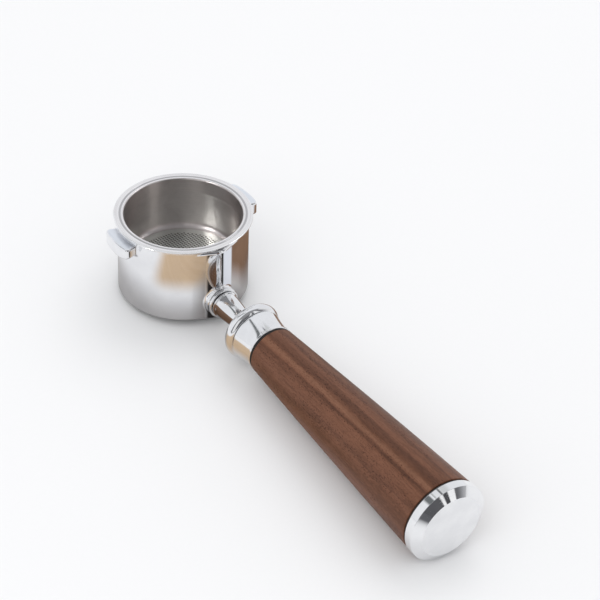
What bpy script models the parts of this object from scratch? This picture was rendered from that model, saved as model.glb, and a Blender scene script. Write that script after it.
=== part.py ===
"""Portafilter with a naked (spoutless) head, a filter basket and a screwed wooden handle.

Units are metres, +Z is up. The origin is the centre of the basket's floor, on
the head's vertical axis. The lugs stand out along +X and -X, and the handle
runs along -Y, falling away slightly. Handle parts are turned round their own
local +Z, which an empty lays along the handle.

Sizes below are in millimetres. _R is a radius, _Z a height above the basket's
floor, and _T, _START and _END are distances along the handle from the head's axis.
"""

import math

import bmesh
import bpy
from mathutils import Matrix

MILLIMETRE = 0.001
GAP = 0.3  # clearance left between neighbouring parts

# ---- head casting -----------------------------------------------------------
HEAD_TOP_Z = 23.3
HEAD_BOTTOM_Z = -12.0
HEAD_OUTER_R = 27.9
HEAD_BORE_R = 26.2
GROOVE_Z = 17.7  # middle of the spring's groove
GROOVE_HALF_H = 0.8
GROOVE_FLARE = 0.25  # the groove's sides slope by this much in height
GROOVE_R = 27.2

COLUMN_NOSE_R = 7.0  # rounded nose of the upright column that carries the handle
COLUMN_SPREAD_DEG = 23.8  # where the column's flat flanks run out on the wall
COLUMN_CLEAR_DEG = 27.0  # the wall's even spacing resumes beyond this angle
SEAT_R = 6.9  # round pad on the column, where the handle seats
SEAT_ROOT_T = HEAD_BORE_R + 0.4  # the pad's hidden end, inside the wall
SEAT_T = 30.1  # the pad's face

LUG_OUTER_R = 33.8
LUG_INNER_R = 27.0
LUG_HALF_DEG = 16.0
LUG_BACK_DEG = 2.5  # the lugs sit this far towards +Y from the line across the head
LUG_TOP_Z = 21.7
LUG_BOTTOM_Z = 15.7
LUG_CHAMFER = 0.5
LUG_LEAD_IN = 1.3  # rise of the underside at the leading end
LUG_LEAD_DEG = 9.0
LUG_END_DEG = 4.0  # the outer face curves inward over this angle at each end
LUG_END_DROP = 1.5

# ---- filter basket ----------------------------------------------------------
BASKET_FLOOR_R = 22.0
BASKET_CORNER_H = 2.5
BASKET_LOW_R = 24.5
BASKET_HIGH_R = 25.2
BASKET_WALL = 0.5
FLANGE_INNER_R = 25.9
FLANGE_OUTER_R = 29.6
FLANGE_THICK = 0.8
FLANGE_TOP_Z = HEAD_TOP_Z + GAP + FLANGE_THICK

# ---- basket spring ----------------------------------------------------------
SPRING_R = 26.5
SPRING_WIRE_R = 0.45
SPRING_GAP_DEG = 34.0

# ---- handle: stud, collar and neck ------------------------------------------
HANDLE_Z = -2.2  # height of the handle's axis where it meets the head's
HANDLE_DROOP_DEG = 2.4  # the handle falls away from level by this

STUD_R = 4.0
STUD_BORE_R = STUD_R + GAP
STUD_START = 26.7
STUD_END = 39.4

COLLAR_START = SEAT_T + GAP
COLLAR_END = 31.9
COLLAR_R = 7.0

NECK_START = COLLAR_END + GAP
NECK_ROOT_R = 5.6
NECK_CHAMFER = 0.3
WAIST_T = 44.6
WAIST_R = 4.8
BEAD_START = 50.3
BEAD_END = 55.5
BEAD_R = 12.95
BEAD_EDGE_R = 10.9

# ---- handle: rod, ferrule, seal and grip ------------------------------------
ROD_R = 3.0
ROD_BORE_R = ROD_R + GAP
ROD_START = 49.0
ROD_END = 187.3

TENON_R = 8.5
TENON_START = 59.2
TENON_CHAMFER = 0.4
SPIGOT_R = TENON_R  # neck's spigot and wood's tenon share the ferrule's bore
SPIGOT_END = 58.8
SPIGOT_CHAMFER = 0.3

FERRULE_START = BEAD_END + GAP
FERRULE_END = 67.1
FERRULE_START_R = 11.75
FERRULE_END_R = 10.6
FERRULE_ROUND_T = 0.5  # length of the rounded edge at the neck end
FERRULE_TAPER_END = FERRULE_END - 1.3
FERRULE_LIP_R = 10.95
FERRULE_LIP_START = FERRULE_END - 1.0
FERRULE_LIP_CHAMFER = 0.25
FERRULE_BORE_R = TENON_R + GAP

SEAL_START = FERRULE_END + GAP
SEAL_END = 67.9
SEAL_R = 10.7

WOOD_START = SEAL_END + GAP
WOOD_END = 182.8
WOOD_START_R = 10.95
WOOD_END_R = 17.5
WOOD_START_CHAMFER = 0.3
WOOD_END_CHAMFER_T = 0.4  # along the handle
WOOD_END_CHAMFER_R = 0.35  # across it
WOOD_SWELL = 0.25
WOOD_BORE_R = 3.4
COUNTERBORE_R = 8.0
COUNTERBORE_T = 167.3

# ---- handle: fasteners in the counterbore -----------------------------------
WASHER_START = COUNTERBORE_T + GAP
WASHER_END = 169.1
WASHER_R = 6.0
SPRING_WASHER_START = WASHER_END + GAP
SPRING_WASHER_THICK = 1.3
SPRING_WASHER_RISE = 0.6
SPRING_WASHER_R = 5.3
SPRING_WASHER_GAP_DEG = 16.0
NUT_START = 171.7
NUT_END = 176.7
NUT_FLATS = 10.0
NUT_CHAMFER = 0.5

# ---- handle: gasket and end cap ---------------------------------------------
GASKET_START = WOOD_END + GAP
GASKET_END = 183.7
GASKET_R = 17.2
GASKET_INNER_R = 8.4

CAP_START = GASKET_END + GAP
CAP_BAND_END = 187.8
CAP_END = 190.2
CAP_R = 17.8
CAP_FACE_R = 13.9
CAP_CHAMFER = 0.3
CAP_SPIGOT_R = 5.6
CAP_SPIGOT_START = 177.8
CAP_SPIGOT_CHAMFER = 0.4
CAP_BORE_END = 187.9

STUD_AND_ROD_CHAMFER = 0.5
COLLAR_CHAMFER = 0.3
WASHER_CHAMFER = 0.2
RUBBER_CHAMFER = 0.1

# ---- segment counts ---------------------------------------------------------
HEAD_SEGMENTS = 60
HANDLE_SEGMENTS = 40
SMALL_SEGMENTS = 24
SEAT_SEGMENTS = 48
LUG_STEPS = 8
SPRING_STEPS = 36
SPRING_WASHER_STEPS = 20
WOOD_STEPS = 5

# ---- materials --------------------------------------------------------------
STEEL = (0.82, 0.82, 0.83)
SATIN = (0.62, 0.61, 0.60)
WALNUT = (0.20, 0.105, 0.070)
BLACK = (0.02, 0.02, 0.02)
ZINC = (0.55, 0.56, 0.58)

MATERIALS = (  # name, base colour, metallic, roughness
    ("polished_steel", STEEL, 1.0, 0.08),
    ("satin_steel", SATIN, 1.0, 0.32),
    ("spring_steel", ZINC, 1.0, 0.25),
    ("zinc_plated_steel", ZINC, 1.0, 0.4),
    ("oiled_walnut", WALNUT, 0.0, 0.45),
    ("black_rubber", BLACK, 0.0, 0.6),
    ("polished_neck_steel", STEEL, 1.0, 0.07),
    ("polished_cap_steel", STEEL, 1.0, 0.1),
)


def clear_scene():
    for obj in list(bpy.data.objects):
        bpy.data.objects.remove(obj, do_unlink=True)


def make_material(name, colour, metallic, roughness):
    mat = bpy.data.materials.new(name)
    mat.use_nodes = True
    shader = mat.node_tree.nodes["Principled BSDF"]
    shader.inputs["Base Color"].default_value = (*colour, 1.0)
    shader.inputs["Metallic"].default_value = metallic
    shader.inputs["Roughness"].default_value = roughness
    mat.diffuse_color = (*colour, 1.0)
    return mat


# ---- building helpers -------------------------------------------------------
def arc(centre_r, centre_z, reach_r, reach_z, start_deg, end_deg, steps):
    """Points on an ellipse's arc, ends included, as (radius, height)."""
    points = []
    for i in range(steps + 1):
        angle = math.radians(start_deg + (end_deg - start_deg) * i / steps)
        points.append(
            (centre_r + reach_r * math.cos(angle), centre_z + reach_z * math.sin(angle))
        )
    return points


def polar_point(radius, angle, z):
    """A place in metres, from millimetres and an angle in radians."""
    return (
        radius * math.cos(angle) * MILLIMETRE,
        radius * math.sin(angle) * MILLIMETRE,
        z * MILLIMETRE,
    )


def skin(sections, joined=False):
    """Skins closed sections in turn; the last is joined to the first, or both are capped."""
    shell = bmesh.new()
    rings = [[shell.verts.new(point) for point in section] for section in sections]
    followers = rings[1:] + rings[:1] if joined else rings[1:]
    count = len(rings[0])
    for first, second in zip(rings, followers):
        for k in range(count):
            after = (k + 1) % count
            shell.faces.new((first[k], first[after], second[after], second[k]))
    if not joined:
        shell.faces.new(rings[0])
        shell.faces.new(rings[-1])
    return shell


def prism(radius, start, end, segments):
    """A regular prism along local Z."""
    shell = bmesh.new()
    bmesh.ops.create_cone(
        shell,
        cap_ends=True,
        segments=segments,
        radius1=radius * MILLIMETRE,
        radius2=radius * MILLIMETRE,
        depth=(end - start) * MILLIMETRE,
        matrix=Matrix.Translation((0, 0, (start + end) / 2 * MILLIMETRE)),
    )
    return shell


def link_object(name, shell):
    mesh = bpy.data.meshes.new(name)
    shell.to_mesh(mesh)
    shell.free()
    obj = bpy.data.objects.new(name, mesh)
    bpy.context.scene.collection.objects.link(obj)
    return obj


def finish_piece(name, shell, mat, sharp_deg=30.0):
    bmesh.ops.remove_doubles(shell, verts=shell.verts, dist=1e-7)
    bmesh.ops.recalc_face_normals(shell, faces=shell.faces)
    obj = link_object(name, shell)
    obj.data.materials.append(mat)
    obj.data.shade_smooth()
    obj.data.set_sharp_from_angle(angle=math.radians(sharp_deg))
    return obj


def finish_tool(name, shell):
    """Keeps a shape as a hidden Boolean tool."""
    obj = link_object(name, shell)
    obj.hide_render = True
    obj.display_type = "WIRE"
    return obj


def boolean(obj, tool, operation):
    mod = obj.modifiers.new(operation.title() + "_" + tool.name, "BOOLEAN")
    mod.operation = operation
    mod.solver = "EXACT"
    mod.object = tool


def lathe(name, profile, mat, segments):
    """Turns (radius, height) points round local Z.

    A profile that starts off the axis is a ring's section, and is closed.
    """
    shell = bmesh.new()
    verts = [shell.verts.new((radius * MILLIMETRE, 0.0, z * MILLIMETRE)) for radius, z in profile]
    edges = [shell.edges.new(pair) for pair in zip(verts, verts[1:])]
    if profile[0][0] > 0:
        edges.append(shell.edges.new((verts[-1], verts[0])))
    bmesh.ops.spin(
        shell,
        geom=verts + edges,
        cent=(0, 0, 0),
        axis=(0, 0, 1),
        angle=2 * math.pi,
        steps=segments,
        use_merge=True,
    )
    return finish_piece(name, shell, mat)


def swept_ring(name, section, mat, *, radius, start_deg, end_deg, steps, height, rise=0.0):
    """Carries a closed section (radial, axial) round an open arc, with flat ends."""
    sections = []
    for i in range(steps + 1):
        share = i / steps
        angle = math.radians(start_deg + (end_deg - start_deg) * share)
        sections.append(
            [
                polar_point(radius + radial, angle, height + axial + rise * share)
                for radial, axial in section
            ]
        )
    return finish_piece(name, skin(sections), mat)


def band_profile(inner, outer, start, end, chamfer):
    """A rod (inner radius 0) or a ring, chamfered at both outer edges."""
    return [
        (inner, start),
        (outer - chamfer, start),
        (outer, start + chamfer),
        (outer, end - chamfer),
        (outer - chamfer, end),
        (inner, end),
    ]


# ---- head -------------------------------------------------------------------
HEAD_LEVELS = (  # radius, height, share of the column's stand-out
    (HEAD_OUTER_R - 0.7, HEAD_BOTTOM_Z, 0.6),
    (HEAD_OUTER_R - 0.2, HEAD_BOTTOM_Z + 0.25, 0.85),
    (HEAD_OUTER_R, HEAD_BOTTOM_Z + 0.8, 1.0),
    (HEAD_OUTER_R, HANDLE_Z, 1.0),
    (HEAD_OUTER_R, 12.0, 1.0),
    (HEAD_OUTER_R, 20.6, 1.0),
    (HEAD_OUTER_R, 21.7, 0.9),
    (HEAD_OUTER_R, 22.4, 0.55),
    (HEAD_OUTER_R, 22.8, 0.0),
    (HEAD_OUTER_R - 0.4, HEAD_TOP_Z, 0.0),
    (HEAD_BORE_R + 0.5, HEAD_TOP_Z, 0.0),
    (HEAD_BORE_R, HEAD_TOP_Z - 0.6, 0.0),
    (HEAD_BORE_R, GROOVE_Z + GROOVE_HALF_H + GROOVE_FLARE, 0.0),
    (GROOVE_R, GROOVE_Z + GROOVE_HALF_H, 0.0),
    (GROOVE_R, GROOVE_Z - GROOVE_HALF_H, 0.0),
    (HEAD_BORE_R, GROOVE_Z - GROOVE_HALF_H - GROOVE_FLARE, 0.0),
    (HEAD_BORE_R, HEAD_BOTTOM_Z + 0.6, 0.0),
    (HEAD_BORE_R + 0.3, HEAD_BOTTOM_Z, 0.0),
)

# Degrees either side of -Y at which the column is sampled
COLUMN_STATIONS = (
    0.0, 1.4, 2.8, 4.2, COLUMN_SPREAD_DEG / 4,
    9.0, 12.0, 15.0, 18.0, 21.0, COLUMN_SPREAD_DEG,
)


def degrees_from_handle(deg):
    """Turns an angle from +X into one from -Y, between -180 and 180."""
    return (deg - 270 + 180) % 360 - 180


def column_standout(deg):
    """How far the column stands out of the head's wall, at an angle from -Y.

    Each flank is the wall's own tangent at the spread angle, so it leaves the
    wall smoothly, and the nose is a circle that both flanks touch.
    """
    angle = math.radians(abs(deg))
    spread = math.radians(COLUMN_SPREAD_DEG)
    if angle >= spread:
        return 0.0
    centre = (HEAD_OUTER_R - COLUMN_NOSE_R) / math.cos(spread)
    nose_edge = math.atan2(
        COLUMN_NOSE_R * math.sin(spread), centre + COLUMN_NOSE_R * math.cos(spread)
    )
    if angle <= nose_edge:
        half_chord = math.sqrt(COLUMN_NOSE_R**2 - (centre * math.sin(angle)) ** 2)
        reach = centre * math.cos(angle) + half_chord
    else:
        reach = HEAD_OUTER_R / math.cos(spread - angle)
    return reach - HEAD_OUTER_R


def head_body(mat):
    """The wall is one loop of levels carried round; the column swells its outside."""
    even = [360.0 * i / HEAD_SEGMENTS for i in range(HEAD_SEGMENTS)]
    angles = [deg for deg in even if abs(degrees_from_handle(deg)) > COLUMN_CLEAR_DEG]
    angles += [270 + deg for deg in COLUMN_STATIONS]
    angles += [270 - deg for deg in COLUMN_STATIONS[1:]]
    sections = []
    for deg in sorted(angles):
        standout = column_standout(degrees_from_handle(deg))
        sections.append(
            [
                polar_point(radius + standout * share, math.radians(deg), z)
                for radius, z, share in HEAD_LEVELS
            ]
        )
    return finish_piece("head_body", skin(sections, joined=True), mat, sharp_deg=35.0)


def lug_form(name, centre_deg):
    """One bayonet lug, its underside rising at the anticlockwise end seen from above."""
    sections = []
    for i in range(LUG_STEPS + 1):
        deg = -LUG_HALF_DEG + 2 * LUG_HALF_DEG * i / LUG_STEPS
        lead = max(0.0, (deg - (LUG_HALF_DEG - LUG_LEAD_DEG)) / LUG_LEAD_DEG)
        low = LUG_BOTTOM_Z + LUG_LEAD_IN * lead
        from_end = min(LUG_HALF_DEG - abs(deg), LUG_END_DEG) / LUG_END_DEG
        outer = LUG_OUTER_R - LUG_END_DROP * (1 - from_end) ** 2
        profile = band_profile(LUG_INNER_R, outer, low, LUG_TOP_Z, LUG_CHAMFER)
        angle = math.radians(centre_deg + deg)
        sections.append([polar_point(radius, angle, z) for radius, z in profile])
    shell = skin(sections)
    bmesh.ops.recalc_face_normals(shell, faces=shell.faces)
    return finish_tool(name, shell)


def handle_cutter(name, axis, radius, start, end, segments=SMALL_SEGMENTS):
    """A plain cylinder on the handle's axis, as a Boolean tool."""
    tool = finish_tool(name, prism(radius, start, end, segments))
    tool.parent = axis
    return tool


def build_head(axis, mat):
    """The casting, with its lugs, the handle's seat and the stud's hole."""
    head = head_body(mat)
    boolean(head, lug_form("lug_right_form", LUG_BACK_DEG), "UNION")
    boolean(head, lug_form("lug_left_form", 180.0 - LUG_BACK_DEG), "UNION")
    seat = handle_cutter("seat_form", axis, SEAT_R, SEAT_ROOT_T, SEAT_T, SEAT_SEGMENTS)
    boolean(head, seat, "UNION")
    # the hole's tool runs past both faces of the wall
    hole = handle_cutter("stud_hole_form", axis, STUD_BORE_R, STUD_START - 4, SEAT_T + 2)
    boolean(head, hole, "DIFFERENCE")


# ---- basket and its spring --------------------------------------------------
def basket_profile():
    """Up the inside from the floor, over the flange and down the outside."""
    corner_reach = BASKET_LOW_R - BASKET_FLOOR_R
    lip_r = FLANGE_INNER_R - BASKET_HIGH_R
    outside_r = BASKET_HIGH_R + BASKET_WALL
    under_z = FLANGE_TOP_Z - FLANGE_THICK
    return [
        (0.0, 0.0),
        *arc(BASKET_FLOOR_R, BASKET_CORNER_H, corner_reach, BASKET_CORNER_H, -90, 0, 4),
        *arc(FLANGE_INNER_R, FLANGE_TOP_Z - lip_r, lip_r, lip_r, 180, 90, 2),
        (FLANGE_OUTER_R - 0.35, FLANGE_TOP_Z),
        (FLANGE_OUTER_R, FLANGE_TOP_Z - 0.3),
        (FLANGE_OUTER_R, under_z + 0.2),
        (FLANGE_OUTER_R - 0.2, under_z),
        (outside_r + 0.5, under_z),
        (outside_r + 0.1, under_z - 0.35),
        (outside_r, under_z - 0.9),
        *arc(
            BASKET_FLOOR_R,
            BASKET_CORNER_H,
            corner_reach + BASKET_WALL,
            BASKET_CORNER_H + BASKET_WALL,
            0,
            -90,
            3,
        ),
        (0.0, -BASKET_WALL),
    ]


def basket_spring(mat):
    """A hexagonal wire ring in the head's groove, its gap towards +Y."""
    swept_ring(
        "basket_spring",
        arc(0, 0, SPRING_WIRE_R, SPRING_WIRE_R, 0, 300, 5),
        mat,
        radius=SPRING_R,
        start_deg=90 + SPRING_GAP_DEG / 2,
        end_deg=450 - SPRING_GAP_DEG / 2,
        steps=SPRING_STEPS,
        height=GROOVE_Z,
    )


# ---- handle -----------------------------------------------------------------
def neck_profile():
    """From the stud's blind bore, along the waist and bead, to the rod's blind bore."""
    points = [
        (0.0, STUD_END + GAP),
        (STUD_BORE_R, STUD_END + GAP),
        (STUD_BORE_R, NECK_START),
        (NECK_ROOT_R - NECK_CHAMFER, NECK_START),
        (NECK_ROOT_R, NECK_START + NECK_CHAMFER),
    ]
    taper_start = NECK_START + NECK_CHAMFER
    for i in range(1, 4):
        share = i / 4
        # a blend of a smooth step and a straight taper
        fall = share * share * (3 - 2 * share) * 0.35 + share * 0.65
        points.append(
            (
                NECK_ROOT_R + (WAIST_R - NECK_ROOT_R) * fall,
                taper_start + (WAIST_T - taper_start) * share,
            )
        )
    # hollow curve from the waist out to the bead, then the bead itself
    points += arc(BEAD_EDGE_R, WAIST_T, WAIST_R - BEAD_EDGE_R, BEAD_START - WAIST_T, 0, 90, 5)
    bead_middle = (BEAD_START + BEAD_END) / 2
    bead_half = (BEAD_END - BEAD_START) / 2
    points += arc(BEAD_EDGE_R, bead_middle, BEAD_R - BEAD_EDGE_R, bead_half, -90, 90, 6)[1:]
    points += [
        (SPIGOT_R, BEAD_END),
        (SPIGOT_R, SPIGOT_END - SPIGOT_CHAMFER),
        (SPIGOT_R - SPIGOT_CHAMFER, SPIGOT_END),
        (ROD_BORE_R, SPIGOT_END),
        (ROD_BORE_R, ROD_START - GAP),
        (0.0, ROD_START - GAP),
    ]
    return points


def ferrule_profile():
    taper_start = FERRULE_START + FERRULE_ROUND_T
    points = [
        (FERRULE_BORE_R, FERRULE_START),
        (FERRULE_START_R - 0.45, FERRULE_START),
        (FERRULE_START_R - 0.1, FERRULE_START + 0.15),
        (FERRULE_START_R, taper_start),
    ]
    for i in range(1, 4):
        share = i / 3
        fall = 1 - (1 - share) ** 1.5
        points.append(
            (
                FERRULE_START_R + (FERRULE_END_R - FERRULE_START_R) * fall,
                taper_start + (FERRULE_TAPER_END - taper_start) * share,
            )
        )
    points += [
        (FERRULE_LIP_R, FERRULE_LIP_START),
        (FERRULE_LIP_R, FERRULE_END - FERRULE_LIP_CHAMFER),
        (FERRULE_LIP_R - FERRULE_LIP_CHAMFER, FERRULE_END),
        (FERRULE_BORE_R, FERRULE_END),
    ]
    return points


def wood_profile():
    """Tenon, swelling taper and counterbore."""
    points = [
        (WOOD_BORE_R, TENON_START),
        (TENON_R - TENON_CHAMFER, TENON_START),
        (TENON_R, TENON_START + TENON_CHAMFER),
        (TENON_R, WOOD_START),
        (WOOD_START_R - WOOD_START_CHAMFER, WOOD_START),
    ]
    taper_start = WOOD_START + WOOD_START_CHAMFER
    taper_length = WOOD_END - WOOD_END_CHAMFER_T - taper_start
    for i in range(WOOD_STEPS + 1):
        share = i / WOOD_STEPS
        swell = WOOD_SWELL * 4 * share * (1 - share)
        points.append(
            (
                WOOD_START_R + (WOOD_END_R - WOOD_START_R) * share + swell,
                taper_start + taper_length * share,
            )
        )
    points += [
        (WOOD_END_R - WOOD_END_CHAMFER_R, WOOD_END),
        (COUNTERBORE_R, WOOD_END),
        (COUNTERBORE_R, COUNTERBORE_T),
        (WOOD_BORE_R, COUNTERBORE_T),
    ]
    return points


def cap_profile():
    """Hollow spigot, edge band and sloping face."""
    return [
        (0.0, CAP_BORE_END),
        (ROD_BORE_R, CAP_BORE_END),
        (ROD_BORE_R, CAP_SPIGOT_START),
        (CAP_SPIGOT_R - CAP_SPIGOT_CHAMFER, CAP_SPIGOT_START),
        (CAP_SPIGOT_R, CAP_SPIGOT_START + CAP_SPIGOT_CHAMFER),
        (CAP_SPIGOT_R, CAP_START),
        (CAP_R - CAP_CHAMFER, CAP_START),
        (CAP_R, CAP_START + CAP_CHAMFER),
        (CAP_R, CAP_BAND_END - 0.1),
        (CAP_R - 0.1, CAP_BAND_END),
        (CAP_FACE_R + 0.15, CAP_END - 0.08),
        (CAP_FACE_R, CAP_END),
        (0.0, CAP_END),
    ]


def rod_spring_washer(mat):
    """A split washer, one end higher along the handle than the other."""
    half_width = (SPRING_WASHER_R - ROD_BORE_R) / 2
    return swept_ring(
        "rod_spring_washer",
        [
            (-half_width, 0.0),
            (half_width, 0.0),
            (half_width, SPRING_WASHER_THICK),
            (-half_width, SPRING_WASHER_THICK),
        ],
        mat,
        radius=ROD_BORE_R + half_width,
        start_deg=SPRING_WASHER_GAP_DEG / 2,
        end_deg=360 - SPRING_WASHER_GAP_DEG / 2,
        steps=SPRING_WASHER_STEPS,
        height=SPRING_WASHER_START,
        rise=SPRING_WASHER_RISE,
    )


def rod_nut(axis, mat):
    """A hexagonal nut with bevelled end edges and a clear hole."""
    shell = prism(NUT_FLATS / math.sqrt(3), NUT_START, NUT_END, 6)
    edges = [e for e in shell.edges if abs(e.verts[0].co.z - e.verts[1].co.z) < 1e-7]
    bmesh.ops.bevel(
        shell, geom=edges, offset=NUT_CHAMFER * MILLIMETRE, segments=1, affect="EDGES"
    )
    nut = finish_piece("rod_nut", shell, mat, sharp_deg=20.0)
    hole = handle_cutter("nut_hole_form", axis, ROD_BORE_R, NUT_START - 2, NUT_END + 2)
    boolean(nut, hole, "DIFFERENCE")
    return nut


def handle_axis():
    """The empty whose local +Z runs along the handle, out from the head."""
    axis = bpy.data.objects.new("handle_axis", None)
    axis.location = (0.0, 0.0, HANDLE_Z * MILLIMETRE)
    axis.rotation_euler = (math.radians(90 + HANDLE_DROOP_DEG), 0.0, 0.0)
    bpy.context.scene.collection.objects.link(axis)
    return axis


def build_handle(axis, mats):
    stud = band_profile(0.0, STUD_R, STUD_START, STUD_END, STUD_AND_ROD_CHAMFER)
    collar = band_profile(STUD_BORE_R, COLLAR_R, COLLAR_START, COLLAR_END, COLLAR_CHAMFER)
    seal = band_profile(FERRULE_BORE_R, SEAL_R, SEAL_START, SEAL_END, RUBBER_CHAMFER)
    rod = band_profile(0.0, ROD_R, ROD_START, ROD_END, STUD_AND_ROD_CHAMFER)
    washer = band_profile(ROD_BORE_R, WASHER_R, WASHER_START, WASHER_END, WASHER_CHAMFER)
    gasket = band_profile(GASKET_INNER_R, GASKET_R, GASKET_START, GASKET_END, RUBBER_CHAMFER)
    turned = (  # name, profile, material, segments; from the head outwards
        ("neck_stud", stud, "zinc_plated_steel", SMALL_SEGMENTS),
        ("root_collar", collar, "polished_neck_steel", HANDLE_SEGMENTS),
        ("neck_shaft", neck_profile(), "polished_neck_steel", HANDLE_SEGMENTS),
        ("tie_rod", rod, "zinc_plated_steel", SMALL_SEGMENTS),
        ("ferrule", ferrule_profile(), "polished_neck_steel", HANDLE_SEGMENTS),
        ("ferrule_seal", seal, "black_rubber", HANDLE_SEGMENTS),
        ("wood_grip", wood_profile(), "oiled_walnut", HANDLE_SEGMENTS),
        ("rod_washer", washer, "zinc_plated_steel", SMALL_SEGMENTS),
        ("cap_gasket", gasket, "black_rubber", HANDLE_SEGMENTS),
        ("end_cap", cap_profile(), "polished_cap_steel", HANDLE_SEGMENTS),
    )
    for name, profile, material_name, segments in turned:
        lathe(name, profile, mats[material_name], segments).parent = axis
    rod_spring_washer(mats["spring_steel"]).parent = axis
    rod_nut(axis, mats["zinc_plated_steel"]).parent = axis


def main():
    clear_scene()
    mats = {row[0]: make_material(*row) for row in MATERIALS}
    axis = handle_axis()
    build_head(axis, mats["polished_steel"])
    lathe("filter_basket", basket_profile(), mats["satin_steel"], HEAD_SEGMENTS)
    basket_spring(mats["spring_steel"])
    build_handle(axis, mats)


main()
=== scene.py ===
"""A portafilter: polished head with lugs, perforated basket, turned neck and ferrule,
walnut grip and end cap, each laid on the solid part it stands for.

The head stands upright round world Z; the handle runs from it towards -Y and droops a little.
Lengths inside the builders are millimetres. Handle parts are turned round their own local Z,
which HANDLE lays along the handle, so their heights are distances from the head's axis.
"""

import math
from collections import namedtuple

import bpy
import numpy as np
from mathutils import Matrix, Vector
from mathutils.geometry import delaunay_2d_cdt


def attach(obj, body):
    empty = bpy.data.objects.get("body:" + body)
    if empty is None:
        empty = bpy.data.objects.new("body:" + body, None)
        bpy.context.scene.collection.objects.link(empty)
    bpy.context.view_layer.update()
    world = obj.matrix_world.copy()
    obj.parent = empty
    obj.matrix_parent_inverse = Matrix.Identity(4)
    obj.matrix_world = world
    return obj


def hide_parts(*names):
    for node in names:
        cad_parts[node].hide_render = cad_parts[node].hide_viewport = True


MM = 0.001
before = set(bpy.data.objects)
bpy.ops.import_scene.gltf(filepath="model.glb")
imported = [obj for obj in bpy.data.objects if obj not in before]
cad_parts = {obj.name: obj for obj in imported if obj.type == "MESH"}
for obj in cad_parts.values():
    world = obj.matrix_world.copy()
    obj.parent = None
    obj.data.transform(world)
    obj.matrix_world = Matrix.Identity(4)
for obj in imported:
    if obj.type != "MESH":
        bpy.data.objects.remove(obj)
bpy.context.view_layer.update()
SCENE = bpy.context.scene

DROOP = math.radians(2.4)
HANDLE_Z = -2.2  # where the handle's axis meets the head's
HANDLE = (
    Matrix.Translation((0, 0, HANDLE_Z * MM))
    @ Matrix.Rotation(math.radians(90) + DROOP, 4, "X")
)
UPRIGHT = Matrix.Identity(4)


def extent(node, matrix):
    """(lowest, highest, largest radius) of one solid part round the matrix's Z axis, in mm."""
    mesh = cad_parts[node].data
    points = np.empty(len(mesh.vertices) * 3, np.float32)
    mesh.vertices.foreach_get("co", points)
    inverse = np.array(matrix.inverted(), float)
    local = (points.reshape(-1, 3).astype(float) @ inverse[:3, :3].T + inverse[:3, 3]) / MM
    return local[:, 2].min(), local[:, 2].max(), np.hypot(local[:, 0], local[:, 1]).max()


# ================================================================ mesh helpers
def make_mesh(name, points, faces, matrix, normals=None):
    """A smooth object from points (mm) and index arrays, each array holding faces of one width."""
    mesh = bpy.data.meshes.new(name)
    points = np.asarray(points, float) * MM
    groups = [np.asarray(group, np.int32) for group in faces if len(group)]
    corners = np.concatenate([group.ravel() for group in groups])
    sizes = np.concatenate([np.full(len(group), group.shape[1], np.int32) for group in groups])
    starts = np.concatenate([[0], np.cumsum(sizes)[:-1]]).astype(np.int32)
    mesh.vertices.add(len(points))
    mesh.vertices.foreach_set("co", points.astype(np.float32).ravel())
    mesh.loops.add(len(corners))
    mesh.loops.foreach_set("vertex_index", corners)
    mesh.polygons.add(len(sizes))
    mesh.polygons.foreach_set("loop_start", starts)
    mesh.polygons.foreach_set("use_smooth", np.ones(len(sizes), bool))
    mesh.update(calc_edges=True)
    mesh.validate(clean_customdata=False)
    if normals is None:
        normals = area_normals(points, groups)
    mesh.normals_split_custom_set_from_vertices([tuple(normal) for normal in normals])
    obj = bpy.data.objects.new(name, mesh)
    SCENE.collection.objects.link(obj)
    obj.matrix_world = matrix
    return obj


def area_normals(points, groups):
    """Vertex normals weighted by face area, so that flats stay flat beside small roundings."""
    normals = np.zeros((len(points), 3))
    for group in groups:
        first, second, third, last = (points[group[:, k]] for k in (0, 1, 2, -1))
        if group.shape[1] == 4:
            face = np.cross(third - first, last - second)
        else:
            face = np.cross(second - first, third - first)
        for k in range(group.shape[1]):
            np.add.at(normals, group[:, k], face)
    length = np.linalg.norm(normals, axis=1, keepdims=True)
    return normals / np.maximum(length, 1e-20)


def signed_volume(points, groups):
    total = 0.0
    for group in groups:
        for k in range(1, group.shape[1] - 1):
            first, second, third = points[group[:, 0]], points[group[:, k]], points[group[:, k + 1]]
            total += np.einsum("ij,ij->i", first, np.cross(second, third)).sum()
    return total


def outward(points, groups):
    """The same faces, turned over if they enclose a negative volume."""
    if signed_volume(points, groups) < 0:
        return [group[:, ::-1] for group in groups]
    return groups


def grid_quads(rows, columns, closed=False):
    """Quads between rings of points; closed also joins the last ring to the first."""
    i, j = np.meshgrid(np.arange(rows if closed else rows - 1), np.arange(columns), indexing="ij")
    next_i, next_j = (i + 1) % rows * columns, (j + 1) % columns
    i = i * columns
    return np.stack([i + j, i + next_j, next_i + next_j, next_i + j], axis=2).reshape(-1, 4)


def fan(tip, start, count):
    """Triangles from one point to the ring of points that begins at start."""
    k = np.arange(count)
    return np.stack([np.full(count, tip), start + k, start + (k + 1) % count], 1)


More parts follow.
